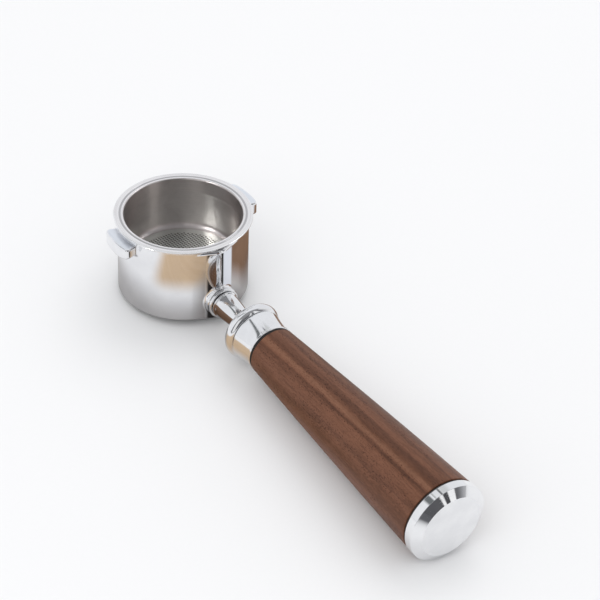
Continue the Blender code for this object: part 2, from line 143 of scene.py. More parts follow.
def rounded(corners, closed=False, steps=6):
    """(radius, height[, rounding]) corners as a dense profile, each rounding a true arc."""
    points = [np.array(corner[:2], float) for corner in corners]
    out = []
    count = len(points)
    for i, corner in enumerate(corners):
        ease = corner[2] if len(corner) > 2 else 0.0
        if ease <= 0 or (not closed and i in (0, count - 1)):
            out.append(points[i])
            continue
        here = points[i]
        back, ahead = points[i - 1] - here, points[(i + 1) % count] - here
        back_length, ahead_length = np.linalg.norm(back), np.linalg.norm(ahead)
        back, ahead = back / back_length, ahead / ahead_length
        half = math.acos(np.clip(back @ ahead, -1, 1)) / 2
        reach = min(ease / math.tan(half), 0.49 * back_length, 0.49 * ahead_length)
        radius = reach * math.tan(half)
        inward = (back + ahead) / np.linalg.norm(back + ahead)
        middle = here + inward * (radius / math.sin(half))
        start, end = here + back * reach - middle, here + ahead * reach - middle
        sweep = math.pi - 2 * half
        side = math.copysign(1.0, start[0] * end[1] - start[1] * end[0])
        base = math.atan2(start[1], start[0])
        for k in range(steps + 1):
            angle = base + side * sweep * k / steps
            out.append(middle + radius * np.array([math.cos(angle), math.sin(angle)]))
    return out


def ring_angles(count):
    return np.linspace(0, 2 * math.pi, count, endpoint=False)


def turned(name, profile, matrix, segments=192, closed=True, wobble=None):
    """Turns a (radius, height) profile round local Z. An open one starts and ends on the axis."""
    profile = np.array(profile, float)
    angles = ring_angles(segments)
    body = profile if closed else profile[1:-1]
    radius = np.repeat(body[:, 0][:, None], segments, axis=1)
    height = np.repeat(body[:, 1][:, None], segments, axis=1)
    if wobble is not None:
        radius = wobble(radius, height, angles[None, :])
    grid = np.stack([radius * np.cos(angles), radius * np.sin(angles), height], axis=2)
    points = grid.reshape(-1, 3)
    rows = len(body)
    groups = [grid_quads(rows, segments, closed)]
    if not closed:
        points = np.vstack([points, [0, 0, profile[0, 1]], [0, 0, profile[-1, 1]]])
        first = rows * segments
        bottom = fan(first, 0, segments)[:, [0, 2, 1]]
        groups.append(np.vstack([bottom, fan(first + 1, (rows - 1) * segments, segments)]))
    return make_mesh(name, points, outward(points, groups), matrix)


def curve_points(function, start, end, steps):
    return [function(start + (end - start) * k / steps) for k in range(steps + 1)]


def ellipse_arc(centre_r, centre_z, half_r, half_z, start, end, steps):
    """(radius, height) points on an ellipse, from start to end in degrees."""
    return [
        (centre_r + half_r * math.cos(math.radians(a)), centre_z + half_z * math.sin(math.radians(a)))
        for a in np.linspace(start, end, steps + 1)
    ]


# ================================================================ surfaces from distances
def soft_min(first, second, ease):
    share = np.maximum(ease - np.abs(first - second), 0.0) / ease
    return np.minimum(first, second) - share * share * ease * 0.25


def soft_max(first, second, ease):
    return -soft_min(-first, -second, ease)


def gradient(function, points, reach=0.02):
    slope = np.empty_like(points)
    for k in range(3):
        step = np.zeros(3)
        step[k] = reach
        slope[:, k] = function(points + step) - function(points - step)
    return slope / (2 * reach)


def neighbours(axis):
    """Indices of the grid without its last and without its first layer along one axis."""
    near, far = [slice(None)] * 3, [slice(None)] * 3
    near[axis], far[axis] = slice(0, -1), slice(1, None)
    return tuple(near), tuple(far)


def surface_of(function, low, high, step, passes=4):
    """A closed quad mesh on the zero surface of a distance function, and its normals."""
    axes = [np.arange(a, b + step, step) for a, b in zip(low, high)]
    value = np.empty([len(axis) for axis in axes])
    for i, x in enumerate(axes[0]):  # one slice at a time keeps the memory small
        y, z = np.meshgrid(axes[1], axes[2], indexing="ij")
        value[i] = function(np.stack([np.full_like(y, x), y, z], axis=2))
    inside = value < 0

    # one point in each cell that the surface crosses, at the mean of its edge crossings
    shape = np.array(value.shape) - 1
    total = np.zeros(tuple(shape) + (3,))
    hits = np.zeros(tuple(shape))
    for axis in range(3):
        near, far = neighbours(axis)
        here, there = value[near], value[far]
        cross = inside[near] != inside[far]
        share = np.where(cross, here / np.where(cross, here - there, 1.0), 0.0)
        first, second = [k for k in range(3) if k != axis]
        for i in (0, 1):
            for j in (0, 1):
                part = [slice(None)] * 3
                part[first] = slice(i, i + shape[first])
                part[second] = slice(j, j + shape[second])
                crossed, along = cross[tuple(part)], share[tuple(part)]
                hits += crossed
                offset = [0.0, 0.0, 0.0]
                offset[first], offset[second] = float(i), float(j)
                for k in range(3):
                    total[..., k] += np.where(crossed, along if k == axis else offset[k], 0.0)
    active = hits > 0
    cells = np.argwhere(active)
    index = np.full(tuple(shape), -1, np.int64)
    index[active] = np.arange(len(cells))
    origin = np.array([axis[0] for axis in axes])
    points = (cells + total[active] / hits[active][:, None]) * step + origin

    # one quad round each crossed grid edge
    quads = []
    for axis in range(3):
        near, far = neighbours(axis)
        edge = np.argwhere(inside[near] != inside[far])
        u, v = [(1, 2), (2, 0), (0, 1)][axis]
        within = (edge[:, u] > 0) & (edge[:, v] > 0)
        edge = edge[within & (edge[:, u] < shape[u]) & (edge[:, v] < shape[v])]
        around = []
        for back_u, back_v in ((1, 1), (0, 1), (0, 0), (1, 0)):
            cell = edge.copy()
            cell[:, u] -= back_u
            cell[:, v] -= back_v
            around.append(index[tuple(cell.T)])
        around = np.stack(around, axis=1)
        filled = inside[tuple(edge.T)]
        quads.append(np.where(filled[:, None], around, around[:, ::-1]))
    quads = np.vstack(quads)

    for number in range(passes):
        if number < passes - 1:  # even out the mesh, then bring it back to the surface
            total = np.zeros_like(points)
            weight = np.zeros(len(points))
            for k in range(4):
                beside = points[quads[:, (k + 1) % 4]] + points[quads[:, (k - 1) % 4]]
                np.add.at(total, quads[:, k], beside)
                np.add.at(weight, quads[:, k], 2.0)
            points = 0.5 * points + 0.5 * total / weight[:, None]
        for _ in range(3):
            slope = gradient(function, points)
            move = (function(points) / np.maximum((slope * slope).sum(1), 0.2))[:, None] * slope
            length = np.linalg.norm(move, axis=1, keepdims=True)
            points = points - move * np.minimum(1.0, 0.5 * step / np.maximum(length, 1e-9))
    slope = gradient(function, points)
    normals = slope / np.maximum(np.linalg.norm(slope, axis=1, keepdims=True), 1e-9)
    return points, outward(points, [quads]), normals


# ================================================================ head casting
HEAD_BOTTOM, _, _ = extent("head_body", UPRIGHT)
HEAD_TOP, COLUMN_TOP = 23.3, 22.9
WALL_R, BORE_R = 27.9, 26.2
MOUTH_WIDER = 0.55  # how much the bore's chamfer opens at the top
GROOVE_Z, GROOVE_HALF, GROOVE_R = 17.7, 0.8, 27.15
NOSE_R, NOSE_SPREAD = 7.0, math.radians(23.8)
# the handle's seat and its hole, as radii and distances along the handle
SEAT_R, SEAT_START, SEAT_END = 6.9, 15.0, 30.1
HOLE_IN_SEAT_R, HOLE_IN_SEAT_START = 4.2, 14.0
LUG_R, LUG_TOP, LUG_LOW = 33.8, 21.7, 15.7
LUG_HALF, LUG_BACK = math.radians(16.0), math.radians(2.5)
# the lug's underside rises over this stretch of its angle
LEAD_START, LEAD_SPAN, LEAD_MOST, LEAD_RISE = math.radians(7.0), math.radians(9.0), 1.3, 1.3
AXIS_Y, AXIS_Z = -math.cos(DROOP), -math.sin(DROOP)  # the handle's direction


def column_plan(x, y):
    """Distance to the head's outline in plan: round wall and -Y nose, joined by tangents."""
    across, ahead = np.abs(x), -y
    gap = (WALL_R - NOSE_R) / math.cos(NOSE_SPREAD)
    cosine = (WALL_R - NOSE_R) / gap
    sine = math.sqrt(1 - cosine * cosine)
    along = -cosine * across + sine * ahead
    distance = sine * across + cosine * ahead - WALL_R
    to_wall = np.sqrt(across * across + ahead * ahead) - WALL_R
    to_nose = np.sqrt(across * across + (ahead - gap) ** 2) - NOSE_R
    distance = np.where(along < 0, to_wall, distance)
    return np.where(along > sine * gap, to_nose, distance)


def lug_distance(x, y, z, radius, centre):
    angle = np.arctan2(y, x) - centre
    angle = (angle + math.pi) % (2 * math.pi) - math.pi
    side = radius * np.sin(np.minimum(np.abs(angle) - LUG_HALF, math.pi / 2))
    lead = np.clip((angle - LEAD_START) / LEAD_SPAN, 0, LEAD_MOST)
    underside = LUG_LOW + LEAD_RISE * lead
    plan = soft_max(radius - LUG_R, side, ease=2.2)
    distance = soft_max(plan, z - LUG_TOP, ease=0.9)
    return soft_max(distance, underside - z, ease=0.9)


def head_distance(points):
    """Signed distance, in mm, to the head casting with its roundings and fillets."""
    x, y, z = points[..., 0], points[..., 1], points[..., 2]
    radius = np.sqrt(x * x + y * y)
    low = HEAD_BOTTOM - z
    wall = soft_max(soft_max(radius - WALL_R, z - HEAD_TOP, ease=0.9), low, ease=1.1)
    column = soft_max(soft_max(column_plan(x, y), z - COLUMN_TOP, ease=1.6), low, ease=1.1)
    distance = np.minimum(wall, column)
    for centre in (LUG_BACK, math.pi - LUG_BACK):
        distance = soft_min(distance, lug_distance(x, y, z, radius, centre), ease=1.5)

    rise = z - HANDLE_Z
    along = y * AXIS_Y + rise * AXIS_Z
    off = np.sqrt(x * x + (y - along * AXIS_Y) ** 2 + (rise - along * AXIS_Z) ** 2)
    seat = soft_max(off - SEAT_R, along - SEAT_END, ease=0.5)
    seat = soft_max(seat, SEAT_START - along, ease=0.5)
    distance = soft_min(distance, seat, ease=0.9)
    hole = np.maximum(off - HOLE_IN_SEAT_R, HOLE_IN_SEAT_START - along)
    distance = soft_max(distance, -hole, ease=0.5)

    groove = soft_max(radius - GROOVE_R, np.abs(z - GROOVE_Z) - GROOVE_HALF, ease=0.5)
    bore = np.minimum(radius - BORE_R, groove)
    mouth = (radius - (BORE_R + MOUTH_WIDER) - (z - HEAD_TOP)) * 0.7071
    distance = soft_max(distance, -bore, ease=0.5)
    return soft_max(distance, -mouth, ease=0.3)


def head_shell():
    step = 0.36
    low, high = (-35.0, -31.6, HEAD_BOTTOM - 1.0), (35.0, 29.2, 24.4)
    points, faces, normals = surface_of(head_distance, low, high, step)
    return make_mesh("head_casting", points, faces, UPRIGHT, normals)


# ================================================================ filter basket
FLOOR_R, CORNER_R, LOW_R, HIGH_R, SHEET = 22.0, 2.5, 24.5, 25.2, 0.5
FLANGE_IN, FLANGE_OUT, FLANGE_T = 25.9, 29.6, 0.8
DISC_R = 21.0
HOLE_PITCH, HOLE_R, HOLE_SIDES = 1.26, 0.29, 8
FIELD_R = 19.9  # holes lie within this radius
BEAD_HALF = 0.9
CUP_SEGMENTS = 240


def cup_profile():
    """The basket's section from the disc's upper edge, over the flange, to its lower edge."""
    _, lip, _ = extent("filter_basket", UPRIGHT)
    edge = FLANGE_IN - HIGH_R
    below_flange = lip - 3.0

    def bead(z, depth):  # a faint bead where the spring grips
        return depth * math.exp(-(((z - GROOVE_Z) / BEAD_HALF) ** 2))

    def inside(share):
        z = CORNER_R + (lip - edge - CORNER_R) * share
        return (LOW_R + (HIGH_R - LOW_R) * share - bead(z, 0.10), z)

    def outside(share):
        z = below_flange + (CORNER_R - lip + 3.0) * share
        rise = (z - CORNER_R) / (lip - edge - CORNER_R)
        return (LOW_R + (HIGH_R - LOW_R) * rise + SHEET - bead(z, 0.14), z)

    inner = [(DISC_R, 0.0), (FLOOR_R, 0.0)]
    inner += ellipse_arc(FLOOR_R, CORNER_R, LOW_R - FLOOR_R, CORNER_R, -90, 0, 14)[1:]
    inner += curve_points(inside, 0, 1, 60)[1:]
    inner += ellipse_arc(FLANGE_IN, lip - edge, edge, edge, 180, 90, 10)[1:]
    flange = [  # radius, height, rounding: the top with its shallow dish, then the rim
        (26.75, lip, 0.2),
        (26.9, lip - 0.07, 0.15),
        (27.15, lip - 0.07, 0.15),
        (27.3, lip, 0.2),
        (28.55, lip, 0.3),
        (FLANGE_OUT - 0.32, lip - 0.05, 0.3),
        (FLANGE_OUT, lip - 0.16, 0.16),
        (FLANGE_OUT, lip - FLANGE_T + 0.05, 0.2),
        (FLANGE_OUT - 0.5, lip - FLANGE_T, 0.2),
        (HIGH_R + SHEET + 0.6, lip - FLANGE_T, 0.3),
        (HIGH_R + SHEET + 0.02, lip - FLANGE_T - 0.75, 0.5),
        (HIGH_R + SHEET - 0.02, below_flange),
    ]
    outer = curve_points(outside, 0.02, 1, 48)
    corner_r, corner_z = LOW_R - FLOOR_R + SHEET, CORNER_R + SHEET
    outer += ellipse_arc(FLOOR_R, CORNER_R, corner_r, corner_z, 0, -90, 14)[1:]
    outer += [(DISC_R, -SHEET)]
    turn = [tuple(point) for point in rounded([inner[-1]] + flange, steps=4)]
    return np.array(inner[:-1] + turn + outer, float)


def punched_disc(angles):
    """A flat disc with a square field of holes: its points, triangles and hole edges."""
    segments = len(angles)
    outline = [Vector((DISC_R * math.cos(a), DISC_R * math.sin(a))) for a in angles]
    edges = [(k, (k + 1) % segments) for k in range(segments)]
    reach = int(DISC_R / HOLE_PITCH) + 1
    for i in range(-reach, reach + 1):
        for j in range(-reach, reach + 1):
            x, y = (i + 0.5) * HOLE_PITCH, (j + 0.5) * HOLE_PITCH
            if math.hypot(x, y) >= FIELD_R:
                continue
            base = len(outline)
            for k in range(HOLE_SIDES):
                a = math.pi * (2 * k + 1) / HOLE_SIDES
                outline.append(Vector((x + HOLE_R * math.cos(a), y + HOLE_R * math.sin(a))))
                edges.append((base + k, base + (k + 1) % HOLE_SIDES))
    found, _, triangles, _, _, _ = delaunay_2d_cdt(outline, edges, [], 0, 1e-6)
    flat = np.array([(point[0], point[1]) for point in found])
    triangles = np.array([t for t in triangles if len(t) == 3], int)

    middle = flat[triangles].mean(1)
    nearest = (np.floor(middle / HOLE_PITCH) + 0.5) * HOLE_PITCH
    in_hole = np.hypot(*(middle - nearest).T) < HOLE_R * 0.97
    triangles = triangles[~(in_hole & (np.hypot(*nearest.T) < FIELD_R))]
    first, second, third = (flat[triangles[:, k]] for k in range(3))
    area = np.cross(second - first, third - first)
    triangles = np.where(area[:, None] < 0, triangles[:, ::-1], triangles)

    # an edge used by one triangle only lies on the rim or round a hole
    pairs = np.vstack([triangles[:, [0, 1]], triangles[:, [1, 2]], triangles[:, [2, 0]]])
    key = np.sort(pairs, axis=1)
    key = key[:, 0] * len(flat) + key[:, 1]
    _, back, uses = np.unique(key, return_inverse=True, return_counts=True)
    border = pairs[uses[back.reshape(-1)] == 1]
    on_rim = np.hypot(*flat[border[:, 0]].T) > DISC_R - 0.05
    return flat, triangles, border[~on_rim]


def basket():
    profile = cup_profile()
    angles = ring_angles(CUP_SEGMENTS)
    rows = len(profile)
    radius = profile[:, 0][:, None]
    height = np.repeat(profile[:, 1][:, None], CUP_SEGMENTS, 1)
    points = np.stack([radius * np.cos(angles), radius * np.sin(angles), height], axis=2)
    points = points.reshape(-1, 3)

    flat, triangles, holes = punched_disc(angles)
    count, base = len(flat), len(points)
    upper_disc, lower_disc = np.c_[flat, np.zeros(count)], np.c_[flat, np.full(count, -SHEET)]
    points = np.vstack([points, upper_disc, lower_disc])
    top = holes + base
    walls = np.stack([top[:, 1], top[:, 0], top[:, 0] + count, top[:, 1] + count], axis=1)

    # the disc's rim is the first and last ring of the turned part
    keep = np.arange(len(points))
    rim = np.where(np.hypot(flat[:, 0], flat[:, 1]) > DISC_R - 0.05)[0]
    turns = np.arctan2(flat[rim, 1], flat[rim, 0]) / (2 * math.pi)
    order = np.round(turns * CUP_SEGMENTS).astype(int) % CUP_SEGMENTS
    keep[base + rim] = order
    keep[base + count + rim] = (rows - 1) * CUP_SEGMENTS + order
    groups = [grid_quads(rows, CUP_SEGMENTS), walls, triangles + base]
    groups = [keep[group] for group in groups + [triangles[:, ::-1] + base + count]]

    used = np.unique(np.concatenate([group.ravel() for group in groups]))
    shrink = np.full(len(points), -1)
    shrink[used] = np.arange(len(used))
    points = points[used]
    cup, walls, upper, lower = (shrink[group] for group in groups)
    (cup,) = outward(points, [cup])
    # hole edges stay crisp: the disc's own normals are straight up and down
    normals = area_normals(points * MM, [cup, upper, lower])
    return make_mesh("basket_cup", points, [cup, walls, upper, lower], UPRIGHT, normals)


# ================================================================ small steel parts
def spring():
    """A wire ring in the groove, open towards +Y, with rounded ends."""
    low, high, reach = extent("basket_spring", UPRIGHT)
    wire, around, section = 0.45, 180, 16
    radius, z, gap = reach - wire, (low + high) / 2, math.radians(34.0)
    start, end = math.pi / 2 + gap / 2, 2.5 * math.pi - gap / 2

    # (angle, share of the wire's radius); each end narrows over three rings
    caps = [math.sin(math.radians(a)) for a in (20, 45, 70)]
    stations = [(start - math.cos(math.asin(c)) * wire / radius, c) for c in caps]
    stations += [(start + (end - start) * k / around, 1.0) for k in range(around + 1)]
    stations += [(end + math.cos(math.asin(c)) * wire / radius, c) for c in reversed(caps)]
    points = []
    turn = np.arange(section) / section * 2 * math.pi
    for a, size in stations:
        r = radius + wire * size * np.cos(turn)
        height = z + wire * size * np.sin(turn)
        points.append(np.stack([r * math.cos(a), r * math.sin(a), height], 1))
    points = np.vstack(points)
    count = len(stations)
    tips = []
    for a, ring_index, flip in ((start - wire / radius, 0, True), (end + wire / radius, count - 1, False)):
        triangles = fan(len(points), ring_index * section, section)
        points = np.vstack([points, [radius * math.cos(a), radius * math.sin(a), z]])
        tips.append(triangles[:, ::-1] if flip else triangles)
    groups = outward(points, [grid_quads(count, section), np.vstack(tips)])
    return make_mesh("spring_wire", points, groups, UPRIGHT)


def thread_ridge(z, angle, pitch):
    """0 to 1 across a right-hand thread's flanks, with flats at both ends."""
    turn = (z / pitch - angle / (2 * math.pi)) % 1.0
    return np.clip(np.abs(2 * turn - 1) * 1.35 - 0.18, 0, 1)


def threaded(name, start, end, major, pitch, threads, plain_r, segments=40):
    """A rod with right-hand threads over the given stretches and a plain shank between them."""
    depth = 0.58 * pitch
    heights = [start + 0.01]
    z = start
    while z < end - 1e-6:
        near = any(low - pitch <= z <= high + pitch for low, high in threads)
        z += pitch / 10 if near or z < start + 1 or z > end - 1 else 2.0
        heights.append(min(z, end - 0.01))
    heights = np.array(sorted(set(np.round(heights, 4))))
    z, angle = np.meshgrid(heights, ring_angles(segments), indexing="ij")
    ridge = thread_ridge(z, angle, pitch)
    radius = np.full_like(z, plain_r)
    for low, high in threads:  # threads fade into the shank but run out full at the rod's ends
        inside = (z >= low - 1e-6) & (z <= high + 1e-6)
        fade = np.clip(np.minimum(z - low, high - z) / (0.8 * pitch), 0, 1)
        fade = np.where(z > end - 1.5, 1.0, fade) if high >= end - 0.01 else fade
        fade = np.where(z < start + 1.5, 1.0, fade) if low <= start + 0.01 else fade
        cut = major - depth * (1 - ridge) * fade - (major - plain_r) * (1 - fade)
        radius = np.where(inside, cut, radius)
    chamfer = np.minimum(z - start, end - z)
    radius = np.minimum(radius, major - depth + 0.25 + chamfer)
    points = np.stack([radius * np.cos(angle), radius * np.sin(angle), z], 2).reshape(-1, 3)
    points = np.vstack([points, [0, 0, start], [0, 0, end]])
    rows = len(heights)
    first = rows * segments
    bottom = fan(first, 0, segments)[:, [0, 2, 1]]
    caps = np.vstack([bottom, fan(first + 1, (rows - 1) * segments, segments)])
    groups = outward(points, [grid_quads(rows, segments), caps])
    return make_mesh(name, points, groups, HANDLE)


def spring_washer():
    """A split ring that climbs along the axis over one turn."""
    low, high, outer = extent("rod_spring_washer", HANDLE)
    inner, thick, ease = 3.3, 1.3, 0.12
    rise = (high - low) - thick
    start, end, steps = math.radians(8), math.radians(352), 120
    corners = [(inner, 0.0), (outer, 0.0), (outer, thick), (inner, thick)]
    section = np.array(rounded([(r, z, ease) for r, z in corners], closed=True, steps=3))
    radius, height = section[:, 0], section[:, 1]
    count = len(section)
    points = []
    for k in range(steps + 1):
        share = k / steps
        a = start + (end - start) * share
        z = low + height + rise * share
        points.append(np.stack([radius * math.cos(a), radius * math.sin(a), z], 1))
    points = np.vstack(points)
    tips = []
    for ring_index, flip in ((0, True), (steps, False)):
        # the end face repeats the section's points so that its edge stays crisp
        face = points[ring_index * count : ring_index * count + count]
        tip = len(points)
        points = np.vstack([points, face.mean(0), face])
        triangles = fan(tip, tip + 1, count)
        tips.append(triangles[:, ::-1] if flip else triangles)
    groups = outward(points, [grid_quads(steps + 1, count), np.vstack(tips)])
    return make_mesh("washer_spring", points, groups, HANDLE)


ROD_PITCH = 1.0


def nut_shell():
    """Hexagon nut with chamfered corners and a countersunk thread."""
    low, high, _ = extent("rod_nut", HANDLE)
    flats, bore, chamfer_r = 10.0, 2.62, 5.25
    thread_root, thread_depth, countersink = 0.32, 0.42, 0.5

    def distance(points):
        x, y, z = points[..., 0], points[..., 1], points[..., 2]
        angle = np.arctan2(y, x)
        sector = math.pi / 3
        local = (angle + sector / 2) % sector - sector / 2
        r = np.sqrt(x * x + y * y)
        hexagon = r * np.cos(local) - flats / 2
        ends = np.maximum(low - z, z - high)
        beyond = r - chamfer_r
        cone = np.maximum(beyond - (z - low) * 1.6, beyond - (high - z) * 1.6) * 0.55
        ridge = thread_ridge(z, angle, ROD_PITCH)
        opening = np.maximum(0, countersink - np.minimum(z - low, high - z))
        hole = r - (bore + thread_root - thread_depth * ridge) - opening
        body = soft_max(soft_max(hexagon, ends, ease=0.25), cone, ease=0.2)
        return np.maximum(body, -hole * 0.8)

    step = 0.2
    box_low, box_high = (-6.2, -6.2, low - 0.5), (6.2, 6.2, high + 0.5)
    points, faces, normals = surface_of(distance, box_low, box_high, step, passes=3)
    return make_mesh("nut_hex", points, faces, HANDLE, normals)


# ================================================================ turned handle parts
# Corner lists hold (radius, distance along the handle, rounding).
ROD_HOLE_R = 3.2  # in the neck, the flat washer and the cap
SLEEVE_R = 8.65  # inner radius of ferrule and seal


def collar():
    start, end, outer = extent("root_collar", HANDLE)
    inner = 4.3
    corners = [(inner, start, 0.15), (outer, start, 0.35), (outer, end, 0.4), (inner, end, 0.15)]
    return turned("collar_ring", rounded(corners, closed=True), HANDLE, 160)


def neck():
    start, end, _ = extent("neck_shaft", HANDLE)
    root, waist, bead, edge = 5.6, 4.8, 12.95, 10.9  # radii
    waist_at, bead_start, bead_end = 44.6, 50.3, 55.5
    stud_hole_r, stud_hole_end, rod_hole_start = 4.25, 39.9, 48.7
    spigot_r = 8.5
    flare_r, flare_end = edge - 0.9, bead_start - 0.55
    foot = [
        (0.0, stud_hole_end),
        (stud_hole_r, stud_hole_end, 0.2),
        (stud_hole_r, start, 0.15),
        (root + 0.55, start, 0.3),
        (root + 0.55, start + 0.75, 0.35),
        (root, start + 1.05, 0.25),
        (root - 0.02, start + 1.8),
    ]

    def shaft(share):
        fall = share * share * (3 - 2 * share)
        along = start + 1.5 + (waist_at - start - 1.5) * share
        return (root + (waist - root) * fall, along)

    points = rounded(foot, steps=5)[:-1] + curve_points(shaft, 0, 1, 22)
    # the flare opens to the bead, with a fine step turned before it
    flare = ellipse_arc(flare_r, waist_at, waist - flare_r, flare_end - waist_at, 0, 78, 18)[1:]
    last = flare[-1]
    step = [
        last,
        (last[0] + 0.1, flare_end, 0.15),
        (edge - 0.35, bead_start - 0.5, 0.12),
        (edge - 0.3, bead_start - 0.1, 0.12),
        (edge, bead_start, 0.08),
    ]
    points += flare + rounded(step, steps=4)[1:]
    middle, bead_half = (bead_start + bead_end) / 2, (bead_end - bead_start) / 2
    points += ellipse_arc(edge, middle, bead - edge, bead_half, -84, 84, 28)
    tail = [
        (edge, bead_end - 0.02),
        (edge - 0.5, bead_end, 0.15),
        (spigot_r, bead_end, 0.2),
        (spigot_r, end, 0.3),
        (ROD_HOLE_R, end, 0.3),
        (ROD_HOLE_R, rod_hole_start, 0.2),
        (0.0, rod_hole_start),
    ]
    points += rounded(tail, steps=5)[1:]
    return turned("neck_turned", points, HANDLE, 224, closed=False)


def ferrule():
    start, end, _ = extent("ferrule", HANDLE)
    wide, narrow, lip = 11.75, 10.6, 10.95
    cone_start, cone_end = start + 0.6, end - 1.45

    def cone(share):
        ease = 1 - (1 - share) ** 1.6
        return (wide + (narrow - wide) * ease, cone_start + (cone_end - cone_start) * share)

    near = [
        (SLEEVE_R, start + 0.3),
        (SLEEVE_R, start, 0.15),
        (wide - 0.12, start, 0.35),
        (wide, start + 0.7),
    ]
    far = [
        (narrow, cone_end),
        (narrow + 0.02, end - 1.2, 0.15),
        (lip, end - 1.0, 0.2),
        (lip, end, 0.3),
        (SLEEVE_R, end, 0.2),
        (SLEEVE_R, end - 0.4),
    ]
    points = rounded(near)[:-1] + curve_points(cone, 0, 1, 30) + rounded(far)[1:]
    return turned("ferrule_turned", points, HANDLE, 224)


def ring(name, node, inner, ease, segments=160):
    start, end, outer = extent(node, HANDLE)
    corners = [(inner, start), (outer, start), (outer, end), (inner, end)]
    profile = rounded([(r, z, ease) for r, z in corners], closed=True, steps=5)
    return turned(name, profile, HANDLE, segments)


def grip():
    inner_start, end, _ = extent("wood_grip", HANDLE)
    start, near_r, far_r = 68.2, 10.95, 17.5
    rod_r, near_socket_r = 3.4, 8.45
    far_socket_r, far_socket_floor = 8.0, 167.3
    side_start, side_end = start + 0.8, end - 1.5
    swell = 0.25

    near = [
        (rod_r, inner_start + 1.0),
        (rod_r, inner_start, 0.3),
        (near_socket_r, inner_start, 0.5),
        (near_socket_r, start, 0.2),
        (near_r - 0.02, start, 0.35),
        (near_r + 0.04, start + 1.0),
    ]
    far = [
        (far_r, side_end),
        (far_r + 0.02, end, 0.4),
        (far_socket_r, end, 0.5),
        (far_socket_r, far_socket_floor, 0.2),
        (rod_r, far_socket_floor, 0.3),
        (rod_r, 160.0),
    ]

    def side(share):
        radius = near_r + (far_r - near_r) * share + swell * 4 * share * (1 - share)
        return (radius, side_start + (side_end - side_start) * share)

    def hand_finish(radius, height, angle):  # sanding leaves the round very slightly uneven
        outside = np.clip((radius - 9.5) / 1.0, 0, 1)
        wave = 0.035 * np.sin(2 * angle + height * 0.021 + 0.7)
        wave = wave + 0.02 * np.sin(3 * angle - height * 0.05)
        return radius + wave * outside

    points = rounded(near)[:-1] + curve_points(side, 0, 1, 150) + rounded(far)[1:]
    return turned("walnut_grip", points, HANDLE, 256, wobble=hand_finish)


def cap():
    inner_start, end, outer = extent("end_cap", HANDLE)
    start, band_end, hole_end = 184.0, 187.8, 187.9
    spigot_r, face_r = 5.6, 13.9
    corners = [
        (0.0, hole_end),
        (ROD_HOLE_R, hole_end, 0.3),
        (ROD_HOLE_R, inner_start, 0.3),
        (spigot_r, inner_start, 0.5),
        (spigot_r, start, 0.4),
        (outer, start, 0.3),
        (outer, band_end, 0.14),
        (face_r, end, 0.16),
        (0.0, end),
    ]
    return turned("cap_turned", rounded(corners), HANDLE, 256, closed=False)


# ================================================================ shader nodes
class Value:
    """A node's output that takes part in arithmetic; each operator adds one Math node."""

    def __init__(self, socket):
        self.socket = socket
        self.tree = socket.id_data

    def other(self, key):
        """Another output of the same node."""
        return Value(self.socket.node.outputs[key])

    def __add__(self, right):
        return calc("ADD", self, right)

    def __radd__(self, left):
        return calc("ADD", left, self)

    def __sub__(self, right):
        return calc("SUBTRACT", self, right)

    def __rsub__(self, left):
        return calc("SUBTRACT", left, self)

    def __mul__(self, right):
        return calc("MULTIPLY", self, right)

    def __truediv__(self, right):
        return calc("DIVIDE", self, right)

    def __abs__(self):
        return calc("ABSOLUTE", self)


def feed(node, inputs):
    """Links or sets a node's inputs, given by name or number."""
    for key, value in inputs.items():
        if isinstance(value, Value):
            value.tree.links.new(value.socket, node.inputs[key])
        else:
            node.inputs[key].default_value = value


def add(tree, kind, inputs=None, output=0, **props):
    """Adds a node and returns one of its outputs."""
    node = tree.nodes.new(kind)
    for key, value in props.items():
        setattr(node, key, value)
    feed(node, inputs or {})
    return Value(node.outputs[output])


def calc(operation, *values):
    tree = next(value.tree for value in values if isinstance(value, Value))
    return add(tree, "ShaderNodeMath", dict(enumerate(values)), operation=operation)


def length_of(x, y):
    return calc("SQRT", x * x + y * y)


def ramp(value, start, end, to_start=0.0, to_end=1.0, smooth=True):
    """Goes from to_start to to_end while the value goes from start to end."""
    inputs = {
        "Value": value,
        "From Min": start,
        "From Max": end,
        "To Min": to_start,
        "To Max": to_end,
    }
    kind = "SMOOTHSTEP" if smooth else "LINEAR"
    return add(value.tree, "ShaderNodeMapRange", inputs, "Result", interpolation_type=kind)


def mix(share, first, second):
    """Colour that goes from the first to the second as the share goes from 0 to 1."""
    first, second = (c if isinstance(c, Value) else (*c, 1.0) for c in (first, second))
    # 6, 7 and output 2 are the node's colour sockets
    inputs = {0: share, 6: first, 7: second}
    return add(share.tree, "ShaderNodeMix", inputs, output=2, data_type="RGBA")


def coated(colour, *coats):
    """Lays (share, colour) coats one over the other."""
    for share, tone in coats:
        colour = mix(share, colour, tone)
    return colour


def noise(vector, scale=1.0, detail=3.0, roughness=0.5, distortion=0.0):
    inputs = {
        "Vector": vector,
        "Scale": scale,
        "Detail": detail,
        "Roughness": roughness,
        "Distortion": distortion,
    }
    return add(vector.tree, "ShaderNodeTexNoise", inputs, "Fac")


def mapped(vector, **inputs):
    named = {key.capitalize(): value for key, value in inputs.items()}
    return add(vector.tree, "ShaderNodeMapping", {"Vector": vector, **named})


def split(vector):
    x = add(vector.tree, "ShaderNodeSeparateXYZ", {0: vector})
    return x, x.other(1), x.other(2)


def combine(x, y, z):
    return add(x.tree, "ShaderNodeCombineXYZ", {0: x, 1: y, 2: z})


def scaled(vector, scale):
    return add(vector.tree, "ShaderNodeVectorMath", {0: vector, "Scale": scale}, operation="SCALE")


